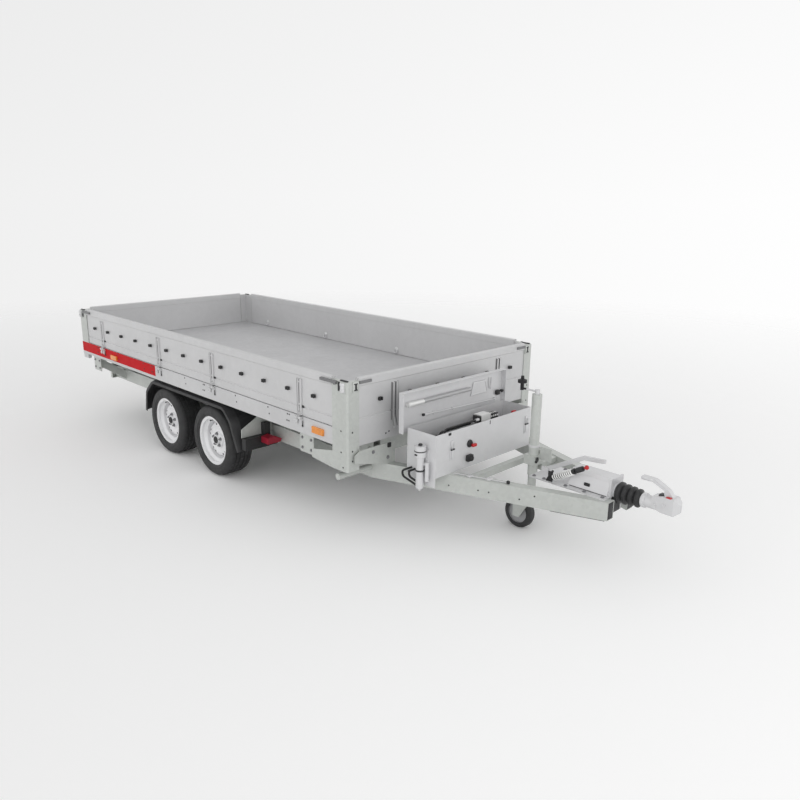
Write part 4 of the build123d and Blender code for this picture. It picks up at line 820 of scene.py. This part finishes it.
class TRAILER_OT_rail_rivets(bpy.types.Operator):
    """Rivet the rails, close the holes of walls and posts and paint shade beside the hinges with dark slabs
    """

    bl_idname = "trailer.rail_rivets"
    bl_label = "Rail Rivets"

    def execute(self, context):
        face = BED_HALF
        spots = []
        for x in STRAPS:
            spots += [(x - dx, face, z, "left") for dx, z in ((108, 682), (126, 682), (112, 640), (132, 640))]
        for x in (720, 1180, 1840, 2520, 2900):
            spots += [(x, face, 682, "left"), (x + 12, face, 640, "left")]
        dress(placed(rivet(5.5, 2.2), mirrored(spots)), "rail_rivets", "dark", "bed")
        ring = turned(((7, 0), (13, 0), (13, 1.5), (11.5, 2.4), (8.5, 2.4), (7, 0)), 20)
        eyes = mirrored([(x - 52, face, 654, "left") for x in STRAPS])
        dress(placed(ring, eyes), "rail_eyelets", "bright", "bed")
        holes = [(3623, face, 689, "left"), (3623, face, 560, "left"), (3640, face, 470, "left")]
        holes += [(BED_LENGTH, 842, z, "front") for z in (685, 570, 510)]
        holes += [(BED_LENGTH - 6, 571, 623, "front"), (BED_LENGTH - 6, 545, 630, "front")]
        dress(placed(rivet(5.5, 1.6), mirrored(holes)), "post_plugs", "dark", "bed")
        plugs = [slab((3700, 3712), (y - 13, y + 13), (542, 572), 4) for y in (-572, 572)]
        dress(joined(plugs), "outrigger_plugs", "black", "chassis")
        # Dark slabs beside each strap's hinge are painted shade
        hinge_shade_marks = []
        for x in STRAPS:
            for way in (-1, 1):
                hinge_shade_marks.append(slab((x + 24, x + 36), flank(way, 880, 886), (632, 646), 3))
                hinge_shade_marks.append(slab((x + 27, x + 33), flank(way, 880, 884), (640, 672), 1.5))
        dress(joined(hinge_shade_marks), "painted_hinge_shade", "dark", "bed")
        for side, way in SIDES:
            plugs = [(x + 29, way * SIDE_FACE, 759, side) for x in STRAPS]
            dress(placed(rivet(9, 6), plugs), f"wall_plugs_{side}", "black", f"{side}_side")
        return {"FINISHED"}


class TRAILER_OT_corner_latches(bpy.types.Operator):
    """Add the corner latches with their barrels and caps, and dark plates that paint shade into the latch
    slots
    """

    bl_idname = "trailer.corner_latches"
    bl_label = "Corner Latches"

    def execute(self, context):
        lower = ((0, 0), (15, 0), (16, 2), (16, 15), (14, 17))
        barrel = turned((*lower, (14, 38), (16, 40), (16, 51), (15, 53), (0, 53)), 20)
        spots = mirrored([(3646, 886, 926, "up"), (34, 886, 926, "up")])
        dress(placed(barrel, spots), "latch_barrels", "bright", "bed")
        dark = []
        bright = []
        for way in (-1, 1):
            for x, ahead in ((BED_LENGTH, 1), (0, -1)):
                skin = sorted((x, x + ahead * 6))
                bright.append(slab(skin, flank(way, 796, 842), (922, 982), 1.5))
                # Dark I-shaped latch on the end face, its darkness partly painted shade
                face = sorted((x, x + ahead * 8))
                dark.append(slab(face, flank(way, 812, 826), (936, 968), 2))
                for z in (930, 966):
                    dark.append(slab(face, flank(way, 806, 834), (z, z + 7), 2))
                top = sorted((x - ahead * 12, x - ahead * 74))
                dark.append(slab(top, flank(way, 858, 872), (POST_TOP - 1, POST_TOP + 7), 2.5))
                seat = sorted((x - ahead * 12, x - ahead * 58))
                bright.append(slab(seat, flank(way, 879, 884), (918, 982), 1.5))
                # Dark plate beside the barrel is painted shade in the latch slot
                slot_shade = sorted((x - ahead * 58, x - ahead * 78))
                dark.append(slab(slot_shade, flank(way, 879, 885), (926, 980), 2))
        dress(joined(dark), "corner_caps_and_latch_shade", "dark", "bed")
        dress(joined(bright), "latch_seats", "galvanised", "bed")
        return {"FINISHED"}


class TRAILER_OT_tie_rings(bpy.types.Operator):
    """Hang lashing rings on the insides of the walls"""

    bl_idname = "trailer.tie_rings"
    bl_label = "Tie Rings"

    def execute(self, context):
        for side, way in SIDES:
            inside = OPPOSITE[side]
            plate = turned(((0, 0), (20, 0), (20, 2.5), (18, 4), (9, 4), (7, 7), (0, 7)), 24)
            spots = [(x, way * 850, 742, inside) for x in (428, 1365, 2315, 3252)]
            plates = placed(plate, spots)
            rings = []
            for x, y, z, facing in spots:
                half = [(13, 8, 0), (18, 12, 16), (10, 13, 30)]
                ring = [(x - a, y - way * b, z - c) for a, b, c in half]
                ring += [(2 * x - a, b, c) for a, b, c in reversed(ring)]
                rings.append(bar(ring, 3.6, "NURBS"))
            dress(joined([plates, *rings]), f"tie_rings_{side}", "bright", f"{side}_side", 60)
        return {"FINISHED"}


class TRAILER_OT_box_fittings(bpy.types.Operator):
    """Fit latches, switch, socket and hydraulic fittings to the pump box"""

    bl_idname = "trailer.box_fittings"
    bl_label = "Box Fittings"

    def execute(self, context):
        face = BOX_X[1]
        bright = []
        dark = []
        for y, low, high in ((-418, 518, 611), (303, 526, 617)):
            bright.append(slab((face, face + 4), (y - 17, y + 17), (low, high - 22), 1.2))
            bright.append(slab((face + 4, face + 12), (y - 10, y + 10), (low + 8, high - 30), 3))
            bright.append(slab((face, face + 9), (y - 13, y + 13), (high - 8, high + 26), 2))
            for wire in (y - 8, y + 8):
                bright.append(bar([(face + 9, wire, high - 36), (face + 12, wire, high + 12)], 2.2))
            dark.append(bar([(face + 8, y - 14, high - 26), (face + 8, y + 14, high - 26)], 6))
        switch = turned(((0, 0), (24, 0), (24, 5), (20, 10), (12, 12), (0, 12)), 24)
        socket = turned(((0, 0), (17, 0), (18, 3), (16, 9), (0, 11)), 20)
        black = [
            placed(switch, [(face, -258, 584, "front")]),
            slab((face, face + 24), (-290, -242), (478, 518), 4),
            placed(socket, [(face + 22, -264, 498, "front")]),
            slab((face - 8, face + 3), (-449, -427), (672, BOX_TOP - 6), 2),
            slab((face - 1, face + 1), (-71, -65), (664, 688), 0.6),
            bar([(4002, 259, 566), (4002, 259, 656)], 9),
            slab((3908, 3960), (-42, -20), (638, 682), 3),
            slab((3914, 3960), (70, 152), (640, 674), 3),
        ]
        knob = slab((face + 10, face + 30), (-256, -218), (564, 584), 7, 3)
        far_cap = slab((3992, 4012), (240, 278), (652, 674), 6, 3)
        dress(joined([knob, far_cap]), "switch_key", "red", "chassis", 50)
        dress(joined(black), "box_switch_and_sockets", "black", "chassis")
        dress(joined(dark), "box_latch_rollers", "dark", "chassis")
        for x, z in ((BOX_X[0] + 72, 635), (BOX_X[0] + 112, 663)):
            nut = turned(((0, 0), (11, 0), (11, 12), (9, 14), (9, 30), (0, 30)), 6)
            bright.append(placed(nut, [(x, -41, z, "right")]))
        dress(joined(bright), "box_latches", "bright", "chassis")
        buttons = [(3960, y, 660, "front") for y in (84, 104, 124, 144)]
        buttons += [(3938, y, 674, "up") for y in (84, 104, 124, 144)]
        dress(placed(rivet(7, 3), buttons), "terminal_screws", "white", "chassis")
        hand = (BOX_X[0] + 138, -590)
        cap = turned(((0, 0), (13, 0), (13, 7), (9, 11), (0, 11)), 6)
        low_band = turned(((24.2, 0), (27, 2), (27, 9), (24.2, 11), (24.2, 0)), 28)
        head_band = turned(((34.2, 0), (35.6, 2), (35.6, 5), (34.2, 7), (34.2, 0)), 28)
        stack = ((cap, 626), (low_band, 470), (head_band, 590))
        caps = [placed(piece, [(*hand, z, "up")]) for piece, z in stack]
        caps.append(slab((hand[0] - 9, hand[0] + 9), (hand[1] - 40, hand[1] - 33), (572, 580), 2))
        dress(joined(caps), "hand_pump_trim", "dark", "chassis")
        barrel = turned(((0, 0), (20, 0), (24, 4), (24, 196), (0, 196)), 28)
        foot = turned(((0, 0), (9, 0), (10, 3), (10, 14), (0, 14)), 16)
        barrel = joined([placed(barrel, [(*hand, 365, "up")]), placed(foot, [(*hand, 352, "up")])])
        dress(barrel, "hand_pump_barrel", "bright", "chassis")
        rivets = [(BOX_X[0] + 14, -556, z, "right") for z in (470, 560, 650)]
        rivets += [(face, y, 452, "front") for y in (-520, -300, -80, 140, 320)]
        rivets += [(face - 14, -556, z, "right") for z in (420, 650)]
        dress(placed(rivet(4, 2), rivets), "box_rivets", "bright", "chassis")
        return {"FINISHED"}


class TRAILER_OT_lid_fittings(bpy.types.Operator):
    """Fit the pocket, rods and knob inside the lid"""

    bl_idname = "trailer.lid_fittings"
    bl_label = "Lid Fittings"

    def execute(self, context):
        face = LID_FACE
        pocket = slab((face, face + 8), (52, 228), (764, 854), 3)
        with edit(pocket):
            pick_faces(pocket, lambda centre, normal: normal.x > 0.99 and normal.x > abs(normal.y))
            bpy.ops.mesh.inset(thickness=7 * MM, depth=0)
            bpy.ops.mesh.inset(thickness=1.5 * MM, depth=-3.5 * MM)
            pick_faces(pocket, lambda centre, normal: centre.z > 0.03)
            bpy.ops.transform.resize(value=(1, 0.72, 1), center_override=at(face, 140, 854))
        dress(pocket, "lid_pocket", "box", "lid")
        loop = [(face + 2, 236, 862), (face + 10, 238, 790), (face + 10, 262, 782), (face + 2, 264, 858)]
        pieces = [bar(loop, 3.4, "NURBS")]
        pieces.append(bar([(face + 9, -364, 730), (face + 9, 336, 706)], 4))
        pieces.append(bar([(face + 9, -380, 730.5), (face + 9, -344, 729.3)], 7))
        for y in (-300, -120, 300):
            middle = 717.5 - 0.0343 * y
            pieces.append(slab((face, face + 14), (y - 5, y + 5), (middle - 9, middle + 9), 1.5))
        dress(joined(pieces), "lid_rods", "bright", "lid")
        knob = turned(((0, 0), (7, 0), (7, 10), (10, 12), (10, 20), (8, 22), (0, 22)), 20)
        plug = slab((face, face + 22), (308, 342), (730, 764), 7, 3)
        end = slab((face, face + 14), (-396, -378), (723, 739), 4)
        black = joined([placed(knob, [(face, 367, 752, "front")]), plug, end])
        dress(black, "lid_knob", "black", "lid")
        return {"FINISHED"}


class TRAILER_OT_drawbar_trim(bpy.types.Operator):
    """Add the brake rod, clips, clamp handle and coupling details, with dark plates and domes as painted
    shade in the beam ends and holes
    """

    bl_idname = "trailer.drawbar_trim"
    bl_label = "Drawbar Trim"

    def execute(self, context):
        rod = [(x, -drawbar_y(x), BEAM_TOP + 4) for x in (4086, 4400)]
        black = [slab((4392, 4408), (-314, -298), (BEAM_TOP, BEAM_TOP + 18), 3)]
        x, y = JOCKEY
        black.append(bar([(x + 34, y - 10, 486), (x + 58, y - 32, 482), (x + 62, y - 62, 478)], 8, "NURBS"))
        for way in (-1, 1):
            black.append(slab((4745, 4781), flank(way, 70, 80), (467, 485), 3))
        dress(joined(black), "drawbar_black_trim", "black", "chassis")
        bright = [bar(rod, 3)]
        for clip in (4180, 4290):
            y_clip = -drawbar_y(clip)
            across = (y_clip - 16, y_clip + 16)
            bright.append(slab((clip - 14, clip + 14), across, (BEAM_TOP, BEAM_TOP + 9), 2))
        band = turned(((30.2, 0), (33.5, 0), (33.5, 14), (30.2, 14), (30.2, 0)), 32)
        bright.append(placed(band, [(x, y, 548, "up")]))
        clamp = turned(((46, 0), (49.5, 0), (49.5, 9), (46, 9), (46, 0)), 32)
        bright.append(placed(clamp, [(4914, 0, SHAFT_Z, "front")]))
        collar = turned(((34.1, 0), (40, 2), (41, 8), (41, 16), (40, 22), (34.1, 24), (34.1, 0)), 32)
        bright.append(placed(collar, [(5058, 0, SHAFT_Z, "front")]))
        bright.append(slab((BALL[0] - 168, BALL[0] - 104), (-20, 20), (574, 594), 7, 3))
        hoop = [(4862, 331), (4866, 316), (4880, 308), (4894, 316), (4898, 331)]
        bright.append(bar([(along, -96, z) for along, z in hoop], 3.5, "NURBS"))
        dress(joined(bright), "drawbar_bright_trim", "bright", "chassis")
        # Thin dark plates in the open beam ends are painted shade; dark bars also run along the base plate
        # and under the beams
        ends = [slab((4931, 4934), flank(way, 79, 133), (335, 434), 1) for way in (-1, 1)]
        for way in (-1, 1):
            ends.append(bar([(4660, way * 85, BASE_TOP + 1), (4888, way * 85, BASE_TOP + 1)], 2))
            ends.append(bar([(x, way * (drawbar_y(x) + 24), 329) for x in (4640, 4920)], 3))
        dress(joined(ends), "beam_end_shade_and_dark_lines", "dark", "chassis")
        # Dark domes in the beam holes are painted shade
        holes = []
        for hole, z in ((4080, 372), (4250, 374), (4310, 374), (4480, 366), (4560, 400)):
            for side, way in SIDES:
                holes.append((hole, way * (drawbar_y(hole) + BEAM_SKIN), z, f"beam_{side}"))
        dress(placed(rivet(5, 1.5), holes), "beam_hole_shade", "dark", "chassis")
        mark = slab((BALL[0] - 16, BALL[0] + 12), (-36, -18), (BALL[1] + 60, BALL[1] + 70), 2)
        dress(mark, "coupling_indicator", "red", "chassis")
        slot = slab((BALL[0] - 62, BALL[0] - 30), (-20, 20), (BALL[1] + 54, BALL[1] + 69), 2.5)
        dress(slot, "coupling_pivot", "dark", "chassis")
        return {"FINISHED"}


class TRAILER_OT_lamp_trim(bpy.types.Operator):
    """Frame the lamps and divide their lenses"""

    bl_idname = "trailer.lamp_trim"
    bl_label = "Lamp Trim"

    def execute(self, context):
        backs = []
        for way in (-1, 1):
            backs.append(slab((18, 28), flank(way, 464, 646), (344, 436), 3))
            for middle in (525, 585):
                backs.append(slab((2.5, 24), flank(way, middle - 2, middle + 2), (351, 429), 0.8))
        dress(joined(backs), "tail_lamp_frames", "black", "chassis")
        return {"FINISHED"}


# Softbox in metres of the row frame; camera in station millimetres, with heading, dip and roll in degrees
SOFTBOX_AT = (6.5, -1.5, 3.2)
SOFTBOX_AIM = (0.2, 0, 0.6)
SOFTBOX_SIZE = 4.0
SOFTBOX_POWER = 40
CAMERA_AT = (6724.4, -3498.1, 1986.7)
CAMERA_TURN = (135.0623, 15.3024, 0.77249)


def lay_floor(look):
    """Pale disc that fades out into the backdrop, painted a little brighter towards one side as painted light
    """
    bpy.ops.object.select_all(action="DESELECT")
    bpy.ops.mesh.primitive_circle_add(vertices=96, radius=30, fill_type="NGON", location=(0, 0, 0))
    floor = bpy.context.object
    floor.name = "studio_floor"
    s = Shading("studio_floor")
    s.tree.nodes.remove(s.surface)
    place = s.add("ShaderNodeNewGeometry").outputs["Position"]
    reach = s.add("ShaderNodeVectorMath", operation="LENGTH")
    s.link(place, reach.inputs[0])
    fade = s.span(reach.outputs["Value"], 3.5, 11.0, 0.0, 1.0)
    near = s.add("ShaderNodeBsdfDiffuse")
    seen = s.add("ShaderNodeLightPath").outputs["Is Camera Ray"]
    # Painted light: the floor seen by the camera is brighter towards one side
    side = s.add("ShaderNodeVectorMath", operation="DOT_PRODUCT")
    s.link(place, side.inputs[0])
    side.inputs[1].default_value = (0.707, 0.707, 0)
    pale = s.span(side.outputs["Value"], -5.0, 5.0, look.floor_lift - 0.08, look.floor_lift + 0.08)
    tone = s.add("ShaderNodeCombineColor")
    for channel in tone.inputs:
        s.link(pale, channel)
    s.link(s.mix(seen, (0.85, 0.85, 0.85), tone.outputs[0]), near.inputs["Color"])
    far = s.add("ShaderNodeBsdfTransparent")
    blend = s.add("ShaderNodeMixShader")
    for source, socket in zip((fade, near.outputs[0], far.outputs[0]), blend.inputs):
        s.link(source, socket)
    s.link(blend.outputs[0], s.tree.nodes["Material Output"].inputs["Surface"])
    floor.data.materials.append(s.material)


def light_studio(tree, look):
    """Even studio: a pale backdrop for the camera, side light and a dim ceiling for everything else."""
    tree.nodes.clear()
    w = Wiring(tree)
    x, y, z = w.split(w.add("ShaderNodeTexCoord").outputs["Generated"])
    height = w.span(z, 0.2, 1.0, 0.9, look.ceiling)
    lighting = w.math("MULTIPLY", height, w.math("MULTIPLY_ADD", y, -look.side_light, look.light))
    across = w.math("MULTIPLY", w.math("ADD", x, y), 0.09)
    drop = w.math("MULTIPLY", w.math("MAXIMUM", z, 0.0), -0.17)
    backdrop = w.math("ADD", w.math("ADD", across, drop), 0.935)
    path = w.add("ShaderNodeLightPath").outputs
    mirror = w.math("MAXIMUM", path["Is Glossy Ray"], path["Is Transmission Ray"])
    seen = w.math("MAXIMUM", path["Is Camera Ray"], mirror)
    choice = w.add("ShaderNodeMix", data_type="FLOAT")
    for source, index in ((seen, 0), (lighting, 2), (backdrop, 3)):
        w.link(source, choice.inputs[index])
    sky = w.add("ShaderNodeBackground")
    w.link(choice.outputs[0], sky.inputs["Strength"])
    sky.inputs["Color"].default_value = (1, 1, 1, 1)
    w.link(sky.outputs[0], w.add("ShaderNodeOutputWorld").inputs["Surface"])


def hang_softbox(scene):
    data = bpy.data.lights.new("front_softbox", "AREA")
    data.size = SOFTBOX_SIZE
    data.energy = SOFTBOX_POWER
    lamp = bpy.data.objects.new("front_softbox", data)
    scene.collection.objects.link(lamp)
    lamp.location = SOFTBOX_AT
    lamp.rotation_euler = (Vector(SOFTBOX_AIM) - lamp.location).to_track_quat("-Z", "Y").to_euler()


def aim_camera(scene, look):
    data = bpy.data.cameras.new("studio_camera")
    data.lens = look.lens
    data.sensor_width = 36
    camera = bpy.data.objects.new("studio_camera", data)
    scene.collection.objects.link(camera)
    heading, dip, roll = (radians(angle) for angle in CAMERA_TURN)
    view = Vector((cos(dip) * cos(heading), cos(dip) * sin(heading), -sin(dip)))
    across = view.cross(Vector((0, 0, 1))).normalized()
    rise = across.cross(view)
    right = across * cos(roll) + rise * sin(roll)
    up = rise * cos(roll) - across * sin(roll)
    turn = Matrix((right, up, -view)).transposed().to_4x4()
    camera.matrix_world = Matrix.Translation(at(*CAMERA_AT)) @ turn
    scene.camera = camera


class TRAILER_OT_stage(bpy.types.Operator):
    """Set up the floor, the light and the camera"""

    bl_idname = "trailer.stage"
    bl_label = "Stage"

    def execute(self, context):
        scene = context.scene
        look = scene.trailer_look
        scene.view_settings.view_transform = "Standard"
        lay_floor(look)
        world = bpy.data.worlds.new("studio_sky")
        scene.world = world
        world.use_nodes = True
        light_studio(world.node_tree, look)
        hang_softbox(scene)
        aim_camera(scene, look)
        return {"FINISHED"}


class TRAILER_PT_tools(bpy.types.Panel):
    """The steps that dress the trailer"""

    bl_idname = "TRAILER_PT_tools"
    bl_label = "Tipper Trailer"
    bl_space_type = "VIEW_3D"
    bl_region_type = "UI"
    bl_category = "Trailer"

    def draw(self, context):
        look = context.scene.trailer_look
        for name in look.bl_rna.properties.keys():
            if name not in ("rna_type", "name"):
                self.layout.prop(look, name)
        for step in STEPS:
            self.layout.operator(step.bl_idname)


STEPS = (
    TRAILER_OT_finishes,
    TRAILER_OT_tyres,
    TRAILER_OT_wheel_trim,
    TRAILER_OT_brake_spring,
    TRAILER_OT_bolts,
    TRAILER_OT_rail_rivets,
    TRAILER_OT_corner_latches,
    TRAILER_OT_tie_rings,
    TRAILER_OT_box_fittings,
    TRAILER_OT_lid_fittings,
    TRAILER_OT_drawbar_trim,
    TRAILER_OT_lamp_trim,
    TRAILER_OT_stage,
)
CLASSES = (TrailerLook, *STEPS, TRAILER_PT_tools)


def register():
    for item in CLASSES:
        bpy.utils.register_class(item)
    bpy.types.Scene.trailer_look = bpy.props.PointerProperty(type=TrailerLook)


def unregister():
    del bpy.types.Scene.trailer_look
    for item in reversed(CLASSES):
        bpy.utils.unregister_class(item)


def main():
    register()
    for step in STEPS:
        group, action = step.bl_idname.split(".")
        getattr(getattr(bpy.ops, group), action)()


if __name__ == "__main__":
    main()
